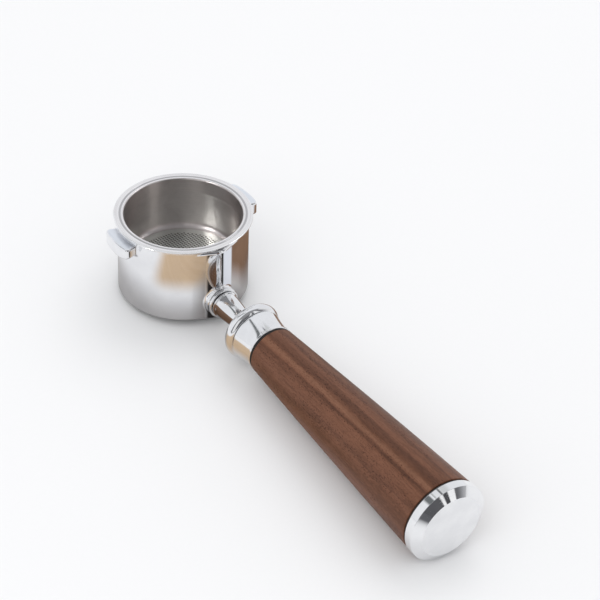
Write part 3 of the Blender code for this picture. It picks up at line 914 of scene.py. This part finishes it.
def bumps(*layers):
    """Normal from (height, strength, depth in mm) layers, one over the other."""
    normal = None
    for height, strength, depth in layers:
        inputs = {"Height": height, "Strength": strength, "Distance": depth * MM}
        if normal is not None:
            inputs["Normal"] = normal
        normal = add(height.tree, "ShaderNodeBump", inputs, "Normal")
    return normal


def new_material(name):
    mat = bpy.data.materials.new(name)
    mat.use_nodes = True
    tree = mat.node_tree
    tree.nodes.clear()
    out = tree.nodes.new("ShaderNodeOutputMaterial")
    shader = tree.nodes.new("ShaderNodeBsdfPrincipled")
    tree.links.new(shader.outputs[0], out.inputs["Surface"])
    return mat, tree, shader


def finish(shader, colour, roughness, normal, metallic=None):
    feed(shader, {"Base Color": colour, "Roughness": roughness, "Normal": normal})
    if metallic is not None:
        feed(shader, {"Metallic": metallic})


# object-space position in mm, radius, and the unit direction round the axis
Spot = namedtuple("Spot", "mm x y z radius cos sin")


def object_mm(tree):
    return scaled(add(tree, "ShaderNodeTexCoord", output="Object"), 1000.0)


def turned_coordinates(tree):
    mm = object_mm(tree)
    x, y, z = split(mm)
    radius = length_of(x, y)
    safe = calc("MAXIMUM", radius, 0.001)
    return Spot(mm, x, y, z, radius, x / safe, y / safe)


def lathe_lines(spot, per_mm, run=1.2):
    """Fine lines round the axis, as a cutting or polishing tool leaves them."""
    depth = spot.z + spot.radius * 0.83  # lets the lines show on end faces too
    vector = combine(spot.cos * run, spot.sin * run, depth * per_mm)
    return noise(vector, detail=2.0, roughness=0.6)


def brushed_round(shader, spot, amount):
    """Stretches reflections with lines that run round the axis."""
    tree = spot.x.tree
    across = combine(spot.y * -1.0, spot.x, 0.0)
    spaces = {"vector_type": "VECTOR", "convert_from": "OBJECT", "convert_to": "WORLD"}
    world = add(tree, "ShaderNodeVectorTransform", {0: across}, **spaces)
    tangent = add(tree, "ShaderNodeVectorMath", {0: world}, operation="NORMALIZE")
    feed(shader, {"Anisotropic": amount, "Anisotropic Rotation": 0.25, "Tangent": tangent})


def scratches(mm, scale=0.9, width=0.012):
    """A sparse web of hairline marks, from the edges of stretched cells."""
    out = None
    for turn, stretch in ((0.4, 5.0), (2.1, 7.0)):
        rotation = (0.7 * turn, turn, 1.9 * turn)
        spun = mapped(mm, rotation=rotation, scale=(scale / stretch, scale, scale))
        inputs = {"Vector": spun, "Scale": 0.35}
        cells = add(
            mm.tree, "ShaderNodeTexVoronoi", inputs, "Distance", feature="DISTANCE_TO_EDGE"
        )
        line = ramp(cells, start=0.0, end=width, to_start=1.0, to_end=0.0, smooth=False)
        out = line if out is None else calc("MAXIMUM", out, line)
    return out * ramp(noise(mm, scale=0.11, detail=2.0), start=0.45, end=0.62)


# ================================================================ materials
# Roughness sums start from the bare surface; each mark is times the roughness it adds.
def polished(name, rough=0.045, lines=0.25, line_rough=0.03):
    """Mirror-polished steel: polishing lines, haze patches, hairlines and a trace of waviness."""
    mat, tree, shader = new_material(name)
    tint = (0.86, 0.865, 0.875)
    spot = turned_coordinates(tree)
    fine = lathe_lines(spot, per_mm=5.5)
    haze = noise(spot.mm, scale=0.09, detail=4.0, roughness=0.55)
    smudge = noise(spot.mm, scale=0.045, detail=3.0, roughness=0.6, distortion=0.6)
    smudge = ramp(smudge, start=0.5, end=0.72)
    hair = scratches(spot.mm)
    hazed = ramp(haze, start=0.35, end=0.75)
    roughness = rough + hazed * 0.035 + smudge * 0.05 + fine * line_rough + hair * 0.12
    colour = mix(ramp(haze, start=0.3, end=0.7), tint, tuple(c * 0.93 for c in tint))
    waves = noise(spot.mm, scale=0.16, detail=2.0, roughness=0.4)
    normal = bumps((waves, 0.10, 0.06), (fine, lines, 0.0016), (hair, 0.25, 0.002))
    finish(shader, colour, roughness, normal, metallic=1.0)
    return mat


def head_finish(name):
    """Polished outside, machined satin on top of the lugs, cast and plated in the bore."""
    mat, tree, shader = new_material(name)
    spot = turned_coordinates(tree)
    fine = lathe_lines(spot, per_mm=4.5)
    haze = noise(spot.mm, scale=0.08, detail=4.0, roughness=0.55)
    grain = noise(spot.mm, scale=2.6, detail=3.0, roughness=0.6)
    hair = scratches(spot.mm)
    normal_z = split(add(tree, "ShaderNodeTexCoord", output="Normal"))[2]
    facing_up = ramp(normal_z, start=0.93, end=0.985)
    lug_level = ramp(spot.z, start=20.9, end=21.3)
    on_lug = ramp(spot.radius, start=28.3, end=28.8) * (facing_up * lug_level)
    in_bore = ramp(spot.radius, start=27.45, end=27.2)
    under = ramp(normal_z, start=-0.9, end=-0.97)
    roughness = (
        0.035
        + ramp(haze, start=0.35, end=0.75) * 0.03
        + hair * 0.10
        + on_lug * (0.20 + fine * 0.12)
        + in_bore * (0.22 + grain * 0.16)
        + under * 0.14
    )
    bright, dull = (0.87, 0.875, 0.885), (0.80, 0.805, 0.82)
    bluish, cast_grey = (0.80, 0.84, 0.90), (0.60, 0.59, 0.58)
    colour = coated(
        mix(ramp(haze, start=0.3, end=0.7), bright, dull),
        (on_lug * 0.8, bluish),
        (in_bore * 0.8, cast_grey),
    )
    waves = noise(spot.mm, scale=0.13, detail=2.0, roughness=0.4)
    normal = bumps(
        (waves, 0.16, 0.08),
        (fine, 0.12 + on_lug * 0.75, 0.004),
        (grain, in_bore * 0.6, 0.02),
        (hair, 0.25, 0.002),
    )
    finish(shader, colour, roughness, normal, metallic=1.0)
    return mat


def basket_finish(name):
    """Drawn sheet: lines round the wall, a brighter flange and a scrubbed perforated floor."""
    mat, tree, shader = new_material(name)
    spot = turned_coordinates(tree)
    radius = spot.radius
    fine = lathe_lines(spot, per_mm=3.2, run=2.0)
    broad = lathe_lines(spot, per_mm=0.55, run=0.8)
    stain = noise(spot.mm, scale=0.10, detail=4.0, roughness=0.6, distortion=0.4)
    floor = ramp(spot.z, start=0.6, end=0.1) * ramp(radius, start=22.6, end=21.8)
    flange = ramp(radius, start=25.45, end=25.8)
    dished = ramp(radius, start=26.25, end=26.5) * ramp(radius, start=27.45, end=27.2)
    edge = ramp(radius, start=29.0, end=29.25)
    stained = ramp(stain, start=0.35, end=0.7)
    roughness = 0.24 + stained * 0.08 + broad * 0.05 - flange * 0.14 + floor * 0.06 + fine * 0.06

    # painted shade: a dark ring in the colour round every hole stands in for the shade seen through it
    def off_grid(value):
        turns = value / HOLE_PITCH
        return (turns - calc("FLOOR", turns) - 0.5) * HOLE_PITCH

    near = length_of(off_grid(spot.x), off_grid(spot.y))
    in_field = ramp(radius, start=19.6, end=19.2)
    hole_shade = ramp(near, start=0.56, end=0.34) * floor * in_field

    wall, wall_stained = (0.64, 0.60, 0.588), (0.56, 0.52, 0.508)
    colour = coated(
        mix(ramp(stain, start=0.3, end=0.72), wall, wall_stained),
        (flange, (0.86, 0.85, 0.85)),
        (dished * flange, (0.50, 0.495, 0.50)),
        (edge, (0.90, 0.90, 0.90)),
        (floor, (0.80, 0.83, 0.79)),
        (ramp(fine, start=0.35, end=0.7) * 0.16, (0.45, 0.43, 0.42)),
        # painted shade round the holes
        (hole_shade * 0.85, (0.10, 0.10, 0.095)),
    )
    normal = bumps((fine, 0.45, 0.004), (stain, 0.15, 0.03))
    finish(shader, colour, roughness, normal, metallic=1.0)
    brushed_round(shader, spot, amount=0.7 - floor * 0.7)
    return mat


def cap_finish(name):
    """Polished band and chamfer, and an end face faced on the lathe to a satin."""
    mat, tree, shader = new_material(name)
    spot = turned_coordinates(tree)
    fine = lathe_lines(spot, per_mm=6.0)
    haze = noise(spot.mm, scale=0.10, detail=4.0, roughness=0.55)
    hair = scratches(spot.mm, scale=1.1)
    within = ramp(spot.radius, start=13.95, end=13.75)
    face = within * ramp(spot.z, start=189.9, end=190.1)
    roughness = (
        0.035
        + ramp(haze, start=0.35, end=0.75) * 0.03
        + hair * 0.12
        + face * (0.22 + fine * 0.1)
    )
    bright, dull = (0.88, 0.885, 0.89), (0.82, 0.825, 0.835)
    colour = mix(ramp(haze, start=0.3, end=0.7), bright, dull)
    waves = noise(spot.mm, scale=0.12, detail=2.0, roughness=0.4)
    normal = bumps((waves, 0.06, 0.05), (fine, 0.1 + face * 0.5, 0.003), (hair, 0.3, 0.002))
    finish(shader, colour, roughness, normal, metallic=1.0)
    brushed_round(shader, spot, amount=face * 0.5)
    return mat


def plated(name, tint, rough, grain_scale):
    """Zinc-plated or drawn steel of the small fixings."""
    mat, tree, shader = new_material(name)
    spot = turned_coordinates(tree)
    grain = noise(spot.mm, scale=grain_scale, detail=4.0, roughness=0.6)
    patches = noise(spot.mm, scale=0.35, detail=3.0, roughness=0.5, distortion=0.5)
    fine = lathe_lines(spot, per_mm=3.0)
    colour = coated(
        mix(ramp(patches, start=0.35, end=0.65), tint, tuple(c * 0.72 for c in tint)),
        (ramp(grain, start=0.55, end=0.75) * 0.25, (0.30, 0.31, 0.33)),
    )
    normal = bumps((grain, 0.35, 0.02), (fine, 0.3, 0.004))
    finish(shader, colour, rough + grain * 0.18, normal, metallic=1.0)
    return mat


def rubber(name):
    mat, tree, shader = new_material(name)
    mm = object_mm(tree)
    black, near_black, dusty = (0.012, 0.012, 0.012), (0.028, 0.027, 0.026), (0.12, 0.11, 0.10)
    grain = noise(mm, scale=5.0, detail=3.0, roughness=0.6)
    dust = ramp(noise(mm, scale=0.6, detail=3.0, roughness=0.6), start=0.55, end=0.8)
    colour = coated(mix(grain, black, near_black), (dust * 0.15, dusty))
    finish(shader, colour, 0.5 + grain * 0.25, bumps((grain, 0.4, 0.02)))
    return mat


def walnut(name):
    """Oiled walnut, its grain along the handle: slow bands, dark pores, a pale and a dark streak."""
    mat, tree, shader = new_material(name)
    spot = turned_coordinates(tree)

    def stretched(across, along, offset=(0.0, 0.0, 0.0)):
        return mapped(spot.mm, location=offset, scale=(across, across, along))

    def cells(across, along, offset):
        inputs = {"Vector": stretched(across, along, offset), "Scale": 1.0}
        return add(tree, "ShaderNodeTexVoronoi", inputs, "Distance", feature="F1")

    # growth layers: shells round a pith well off the axis, wandering slowly along the length
    to_pith_x, to_pith_y = -30.0, -14.0
    layers_per_mm = 1.15  # in radians of the ring wave
    sway = (noise(stretched(across=0.04, along=0.010), detail=2.0) - 0.5) * 9.0
    shell = length_of(spot.x + to_pith_x + sway, spot.y + to_pith_y)
    ripple = noise(stretched(across=0.30, along=0.035, offset=(7, 3, 1)), detail=4.0, roughness=0.6)
    shell = shell + ripple * 2.6
    ring_wave = calc("SINE", shell * layers_per_mm)
    line = ramp(ring_wave, start=0.30, end=1.0)

    band = noise(stretched(across=0.13, along=0.006, offset=(3, 9, 2)), roughness=0.55)
    fibre = noise(stretched(across=1.6, along=0.05), detail=4.0, roughness=0.65)
    mottle = stretched(across=0.85, along=0.34, offset=(1, 8, 5))
    mottle = noise(mottle, detail=4.0, roughness=0.68, distortion=1.0)
    thread = noise(stretched(across=5.0, along=0.2, offset=(5, 1, 8)), roughness=0.7)

    # pores: short dark dashes in two sizes, the larger thickest beside the growth lines
    dashes = cells(across=1.7, along=0.55, offset=(2, 2, 2))
    early = ramp(ring_wave, start=-0.7, end=0.5, to_start=0.4, to_end=1.0)
    where = noise(stretched(across=0.20, along=0.03, offset=(1, 6, 4)))
    where = ramp(where, start=0.38, end=0.60, to_start=0.2, to_end=1.0)
    pore = ramp(dashes, start=0.34, end=0.14) * (early * where)
    fleck = ramp(cells(across=3.0, along=0.95, offset=(9, 4, 6)), start=0.36, end=0.16) * where

    # a pale streak along the upper side, a thin dark line and a wide shade beside it
    weave = noise(stretched(across=0.02, along=0.022, offset=(4, 4, 4)), detail=2.0)
    weave = (weave - 0.5) * 1.5
    streak_at = (spot.x + 4.2) + (weave + spot.z * 0.012)
    on_top = ramp(spot.y, start=1.0, end=5.0)

    def stripe(across, start, end):
        return ramp(abs(across), start=start, end=end) * on_top

    streak = stripe(streak_at, start=1.5, end=0.2)
    beside = stripe(streak_at + 1.9, start=0.8, end=0.1)
    shade = stripe(streak_at + (-3.6), start=2.6, end=0.8)

    brown, light_brown = (0.091, 0.034, 0.016), (0.166, 0.070, 0.040)
    dark, darkest, pore_black = (0.061, 0.023, 0.013), (0.047, 0.018, 0.010), (0.026, 0.009, 0.006)
    colour = coated(
        mix(ramp(band, start=0.32, end=0.66), brown, light_brown),
        (line * 0.5, dark),
        (ramp(mottle, start=0.48, end=0.72) * 0.6, (0.175, 0.072, 0.041)),
        (ramp(mottle, start=0.50, end=0.25) * 0.5, (0.070, 0.027, 0.015)),
        (ramp(fibre, start=0.45, end=0.74) * 0.4, (0.197, 0.084, 0.049)),
        (ramp(fibre, start=0.52, end=0.28) * 0.5, dark),
        (ramp(thread, start=0.42, end=0.68) * 0.30, (0.234, 0.110, 0.065)),
        (shade * 0.4, (0.058, 0.022, 0.012)),
        (streak * (0.15 + mottle * 0.6), (0.234, 0.112, 0.066)),
        (beside * 0.42, darkest),
        (fleck * 0.62, darkest),
        (pore * 0.8, pore_black),
    )
    height = fibre * 0.35 - (pore + fleck * 0.5)
    roughness = 0.40 + fibre * 0.14 + pore * 0.25
    finish(shader, colour, roughness, bumps((height, 0.45, 0.05)))
    feed(shader, {"Specular IOR Level": 0.20})
    return mat


CHROME_HEAD = head_finish("polished_head")
CHROME_NECK = polished("polished_neck")
CHROME_FERRULE = polished("polished_ferrule", rough=0.06, lines=0.35, line_rough=0.05)
CAP_STEEL = cap_finish("polished_cap")
SHEET_STEEL = basket_finish("satin_basket")
ZINC = plated("zinc_steel", tint=(0.66, 0.67, 0.70), rough=0.24, grain_scale=3.0)
SPRING_STEEL = plated("spring_steel", tint=(0.56, 0.56, 0.58), rough=0.16, grain_scale=6.0)
SEAL = rubber("black_seal")
WALNUT = walnut("walnut")


# ================================================================ pieces in their places
def stud():
    low, high, _ = extent("neck_stud", HANDLE)
    threads = [(low, high)]
    return threaded("stud_thread", low, high, major=4.0, pitch=1.25, threads=threads, plain_r=3.3)


def rod():
    low, high, _ = extent("tie_rod", HANDLE)
    threads = [(low, low + 10.0), (high - 24.0, high)]
    return threaded(
        "rod_thread", low, high, major=3.0, pitch=ROD_PITCH, threads=threads, plain_r=2.62
    )


def place(obj, mat, body, node):
    obj.data.materials.append(mat)
    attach(obj, body)
    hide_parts(node)


place(head_shell(), CHROME_HEAD, "head", "head_body")
place(basket(), SHEET_STEEL, "basket", "filter_basket")
place(spring(), SPRING_STEEL, "head", "basket_spring")
place(collar(), CHROME_NECK, "collar", "root_collar")
place(neck(), CHROME_NECK, "handle", "neck_shaft")
place(ferrule(), CHROME_FERRULE, "handle", "ferrule")
seal_ring = ring("seal_ring", "ferrule_seal", inner=SLEEVE_R, ease=0.12)
place(seal_ring, SEAL, "handle", "ferrule_seal")
place(grip(), WALNUT, "handle", "wood_grip")
washer = ring("washer_flat", "rod_washer", inner=ROD_HOLE_R, ease=0.25, segments=96)
place(washer, ZINC, "handle", "rod_washer")
place(spring_washer(), SPRING_STEEL, "handle", "rod_spring_washer")
place(nut_shell(), ZINC, "handle", "rod_nut")
gasket = ring("gasket_ring", "cap_gasket", inner=8.4, ease=0.15)
place(gasket, SEAL, "gasket", "cap_gasket")
place(cap(), CAP_STEEL, "cap", "end_cap")
place(stud(), ZINC, "handle", "neck_stud")
place(rod(), ZINC, "handle", "tie_rod")


# ================================================================ floor
def painted_reflections(tree, mm, incoming, position, head_at):
    """Painted reflections that only polished metal sees in the floor: wood tones round the head, painted
    shade under the head and the neck.

    head_at is the distance from the floor's origin to the head along the floor's Y.
    """
    table_x, table_y, _ = split(mm)
    table_y = table_y - head_at

    def patch(centre, size, soft):
        across = (table_x - centre[0]) / size[0]
        along = (table_y - centre[1]) / size[1]
        return ramp(length_of(across, along), start=1.0 + soft, end=1.0 - soft)

    # painted reflections: tan and brown wood tones that metal sees in the floor
    lines = noise(mapped(mm, scale=(0.02, 0.3, 0.3)))
    tan = mix(lines, (0.56, 0.40, 0.26), (0.68, 0.52, 0.36))
    brown = mix(lines, (0.17, 0.095, 0.06), (0.27, 0.165, 0.105))

    # where the mirrored ray left the metal, in mm, and which way it went
    ray_length = add(tree, "ShaderNodeLightPath", output="Ray Length")
    back_along = scaled(incoming, ray_length)
    ends = {0: position, 1: back_along}
    left_at = scaled(add(tree, "ShaderNodeVectorMath", ends, operation="ADD"), 1000.0)
    from_x, from_y, from_z = split(left_at)
    toward_x = split(incoming)[0] * -1.0
    steep = ramp(split(incoming)[2], start=0.50, end=0.58)

    on_head = ramp(from_y, start=-27.9, end=-27.3)
    flat = on_head * (1.0 - steep)
    high = ramp(from_z, start=1.0, end=11.0)
    # painted reflection: the floor turns dark far from the head, for glossy rays only
    far_off = ramp(table_x, start=75.0, end=15.0) * ramp(table_y, start=-120.0, end=-190.0)
    beyond = (1.0 - patch(centre=(10.0, -110.0), size=(420.0, 205.0), soft=0.38)) * far_off
    off_sides = ramp(abs(from_x), start=27.5, end=25.5)
    painted_tan_share = 1.0 - on_head * (1.0 - high * steep * off_sides)
    # painted shade under the head and the neck, as metal sees it in the floor
    painted_shade_under_head = patch(centre=(0.0, 0.0), size=(44.0, 44.0), soft=0.25)
    painted_shade_under_neck = patch(centre=(8.0, -64.0), size=(23.0, 44.0), soft=0.3)
    # painted reflection: rays off the neck shaft see brown
    shaft = ramp(from_y, start=-31.6, end=-32.6) * ramp(from_y, start=-50.6, end=-49.6)
    # rays off the head's -Y nose see a painted reflection: a pale surround with a dark middle
    nose = ramp(from_y, start=-27.5, end=-28.1) * ramp(from_y, start=-31.0, end=-30.4)
    nose = nose * ramp(abs(from_x), start=9.0, end=7.6)
    dark = ramp(toward_x, start=-0.88, end=-0.78) * ramp(toward_x, start=0.64, end=0.52)
    painted_dark_middle = mix(dark, (0.78, 0.80, 0.85), (0.022, 0.018, 0.017))
    # every coat is painted reflection or painted shade, seen only by glossy rays
    return coated(
        mix(beyond, (0.84, 0.84, 0.85), (0.10, 0.10, 0.11)),
        (patch(centre=(-46.0, -70.0), size=(34.0, 52.0), soft=0.25) * painted_tan_share, tan),
        (patch(centre=(72.0, -14.0), size=(40.0, 46.0), soft=0.3) * (1.0 - flat), brown),
        (painted_shade_under_head * 0.5, (0.13, 0.10, 0.085)),
        (painted_shade_under_neck * on_head, (0.10, 0.075, 0.06)),
        (shaft * ramp(toward_x, start=0.15, end=-0.10), (0.17, 0.095, 0.058)),
        (nose * steep, painted_dark_middle),
    )


def pale_paper(head_at):
    mat, tree, shader = new_material("pale_paper")
    mm = object_mm(tree)
    incoming = add(tree, "ShaderNodeNewGeometry", output="Incoming")
    grain = noise(mm, scale=0.6, detail=3.0, roughness=0.6)
    paper = mix(grain, (0.855, 0.855, 0.86), (0.84, 0.84, 0.845))
    # glossy rays see painted reflections and painted shade instead of the paper
    mirrored = painted_reflections(tree, mm, incoming, incoming.other("Position"), head_at)
    glossy = add(tree, "ShaderNodeLightPath", output="Is Glossy Ray")
    colour = mix(glossy, paper, mirrored)
    feed(shader, {"Base Color": colour, "Roughness": 0.85, "Specular IOR Level": 0.15})
    # a look from below goes through the sheet
    camera_ray = add(tree, "ShaderNodeLightPath", output="Is Camera Ray")
    below = incoming.other("Backfacing") * camera_ray
    clear = add(tree, "ShaderNodeBsdfTransparent")
    either = add(tree, "ShaderNodeMixShader", {0: below, 1: Value(shader.outputs[0]), 2: clear})
    out = next(node for node in tree.nodes if node.type == "OUTPUT_MATERIAL")
    feed(out, {"Surface": either})
    return mat


def studio_floor():
    """A pale sheet that runs from below the cap's lower edge to the head's +Y bottom edge."""
    half_size, drop = 6.0, 0.0003  # metres
    _, cap_end, cap_r = extent("end_cap", HANDLE)
    along = cap_end - 2.4
    foot_y = -along * math.cos(DROOP) - cap_r * math.sin(DROOP)
    foot_z = HANDLE_Z - along * math.sin(DROOP) - cap_r * math.cos(DROOP)
    tilt = math.atan2(HEAD_BOTTOM - foot_z, WALL_R - 0.4 - foot_y)
    mesh = bpy.data.meshes.new("studio_floor")
    signs = ((-1, -1), (1, -1), (1, 1), (-1, 1))
    corners = [(x * half_size, y * half_size, 0) for x, y in signs]
    mesh.from_pydata(corners, [], [(0, 1, 2, 3)])
    floor = bpy.data.objects.new("studio_floor", mesh)
    SCENE.collection.objects.link(floor)
    floor.matrix_world = (
        Matrix.Translation(Vector((0, foot_y, foot_z)) * MM)
        @ Matrix.Rotation(tilt, 4, "X")
        @ Matrix.Translation((0, 0, -drop))
    )
    mesh.materials.append(pale_paper(head_at=-foot_y))


# ================================================================ surroundings, lights, camera
# What metal sees. Columns in degrees: azimuth from, to, softness; elevation from, to, softness;
# then the share (None is full) and the colour.
DARKER_PATCHES = [
    (117.0, 133.0, 3.0, 36.0, 80.0, 4.0, None, (0.17, 0.18, 0.185)),
    (104.0, 110.0, 1.5, 50.0, 58.0, 2.0, None, (0.36, 0.37, 0.37)),
    (-112.0, -80.0, 7.0, -8.0, 12.0, 4.0, 0.7, (0.13, 0.13, 0.14)),
    (74.0, 82.0, 2.0, 52.0, 62.0, 2.0, None, (0.13, 0.13, 0.14)),
    (50.0, 100.0, 6.0, 44.0, 58.0, 2.0, 0.45, (0.42, 0.44, 0.42)),
]
# tall bright panels: azimuth from, to, level
PANELS = [(-79.5, -74.5, 0.95), (-67.0, -56.0, 1.0), (-34.0, -8.0, 0.85), (-165.0, -126.0, 0.85)]


def studio_world():
    """Even pale surroundings; metal sees a darker room, a bright +Y half and four panels."""
    world = bpy.data.worlds.new("studio")
    SCENE.world = world
    world.use_nodes = True
    tree = world.node_tree
    tree.nodes.clear()
    out = tree.nodes.new("ShaderNodeOutputWorld")
    x, y, z = split(add(tree, "ShaderNodeTexCoord", output="Generated"))
    azimuth = calc("ARCTAN2", y, x) * (180 / math.pi)
    elevation = calc("ARCSINE", z) * (180 / math.pi)

    def window(value, low, high, soft):
        rise = ramp(value, start=low - soft, end=low + soft)
        return rise * ramp(value, start=high + soft, end=high - soft)

    room = mix(ramp(elevation, start=-4.0, end=60.0), (0.045, 0.045, 0.05), (0.30, 0.30, 0.31))
    back = window(azimuth, low=-20.0, high=190.0, soft=9.0)
    back = back * ramp(elevation, start=-14.0, end=-6.0)
    colour = mix(back, room, (0.88, 0.89, 0.92))
    patches = DARKER_PATCHES + [
        (low, high, 1.0, -14.0, 46.0, 3.0, None, (level, level, level * 1.01))
        for low, high, level in PANELS
    ]
    for left, right, side_soft, low, high, soft, share, tone in patches:
        area = window(azimuth, left, right, side_soft) * window(elevation, low, high, soft)
        colour = mix(area if share is None else area * share, colour, tone)
    # a grey stretch between two panels, lighter towards +X
    grey = window(azimuth, low=-56.0, high=-33.0, soft=1.5)
    grey = grey * window(elevation, low=-14.0, high=40.0, soft=3.0)
    tone = mix(ramp(azimuth, start=-54.0, end=-36.0), (0.15, 0.15, 0.16), (0.50, 0.50, 0.52))
    colour = mix(grey, colour, tone)

    camera_ray = add(tree, "ShaderNodeLightPath", output="Is Camera Ray")
    ambient = mix(camera_ray, (0.85, 0.855, 0.865), (0.93, 0.93, 0.935))
    colour = mix(camera_ray.other("Is Glossy Ray"), ambient, colour)
    background = add(tree, "ShaderNodeBackground", {"Color": colour, "Strength": 1.0})
    feed(out, {"Surface": background})


def soft_light(name, direction, distance, size, power, seen_by_metal, only=None):
    """A square softbox looking at the head and neck, for all pieces or for one."""
    data = bpy.data.lights.new(name, "AREA")
    data.shape = "SQUARE"
    data.size = size
    data.energy = power
    obj = bpy.data.objects.new(name, data)
    SCENE.collection.objects.link(obj)
    if only is not None:
        group = bpy.data.collections.new(name + "_reach")
        group.objects.link(bpy.data.objects[only])
        obj.light_linking.receiver_collection = group
    towards = Vector(direction).normalized()
    target = Vector((0.0, -0.03, 0.0))
    obj.location = target + towards * distance
    obj.rotation_euler = (-towards).to_track_quat("-Z", "Y").to_euler()
    obj.visible_glossy = seen_by_metal
    obj.visible_camera = False


# name, direction from the head, distance and size in metres, watts, seen by metal, only piece lit
LIGHTS = [
    ("key", (0.62, 0.30, 1.0), 1.5, 1.1, 4.5, False, None),
    ("fill", (-0.7, -0.4, 0.8), 1.5, 1.3, 6.0, False, None),
    ("glint_right", (0.64, 0.02, 0.77), 1.2, 0.30, 0.8, True, "basket_cup"),
    ("glint_left", (-0.72, 0.07, 0.69), 1.2, 0.22, 3.2, True, "basket_cup"),
]


def camera():
    """Looks down at the whole piece from -X and -Y."""
    place_at = (-0.50567, -0.77984, 0.68476)
    forward = Vector((0.46911, 0.64371, -0.60470)).normalized()
    upward = Vector((0.32745, 0.50966, 0.79600))
    data = bpy.data.cameras.new("camera")
    data.sensor_width = 36.0
    data.lens = 161.6
    data.clip_start, data.clip_end = 0.02, 30.0
    obj = bpy.data.objects.new("camera", data)
    SCENE.collection.objects.link(obj)
    right = forward.cross(upward).normalized()
    upward = right.cross(forward).normalized()
    turn = Matrix((right, upward, -forward)).transposed().to_4x4()
    obj.matrix_world = Matrix.Translation(place_at) @ turn
    SCENE.camera = obj


studio_floor()
studio_world()
for light in LIGHTS:
    soft_light(*light)
camera()
SCENE.view_settings.view_transform = "Standard"
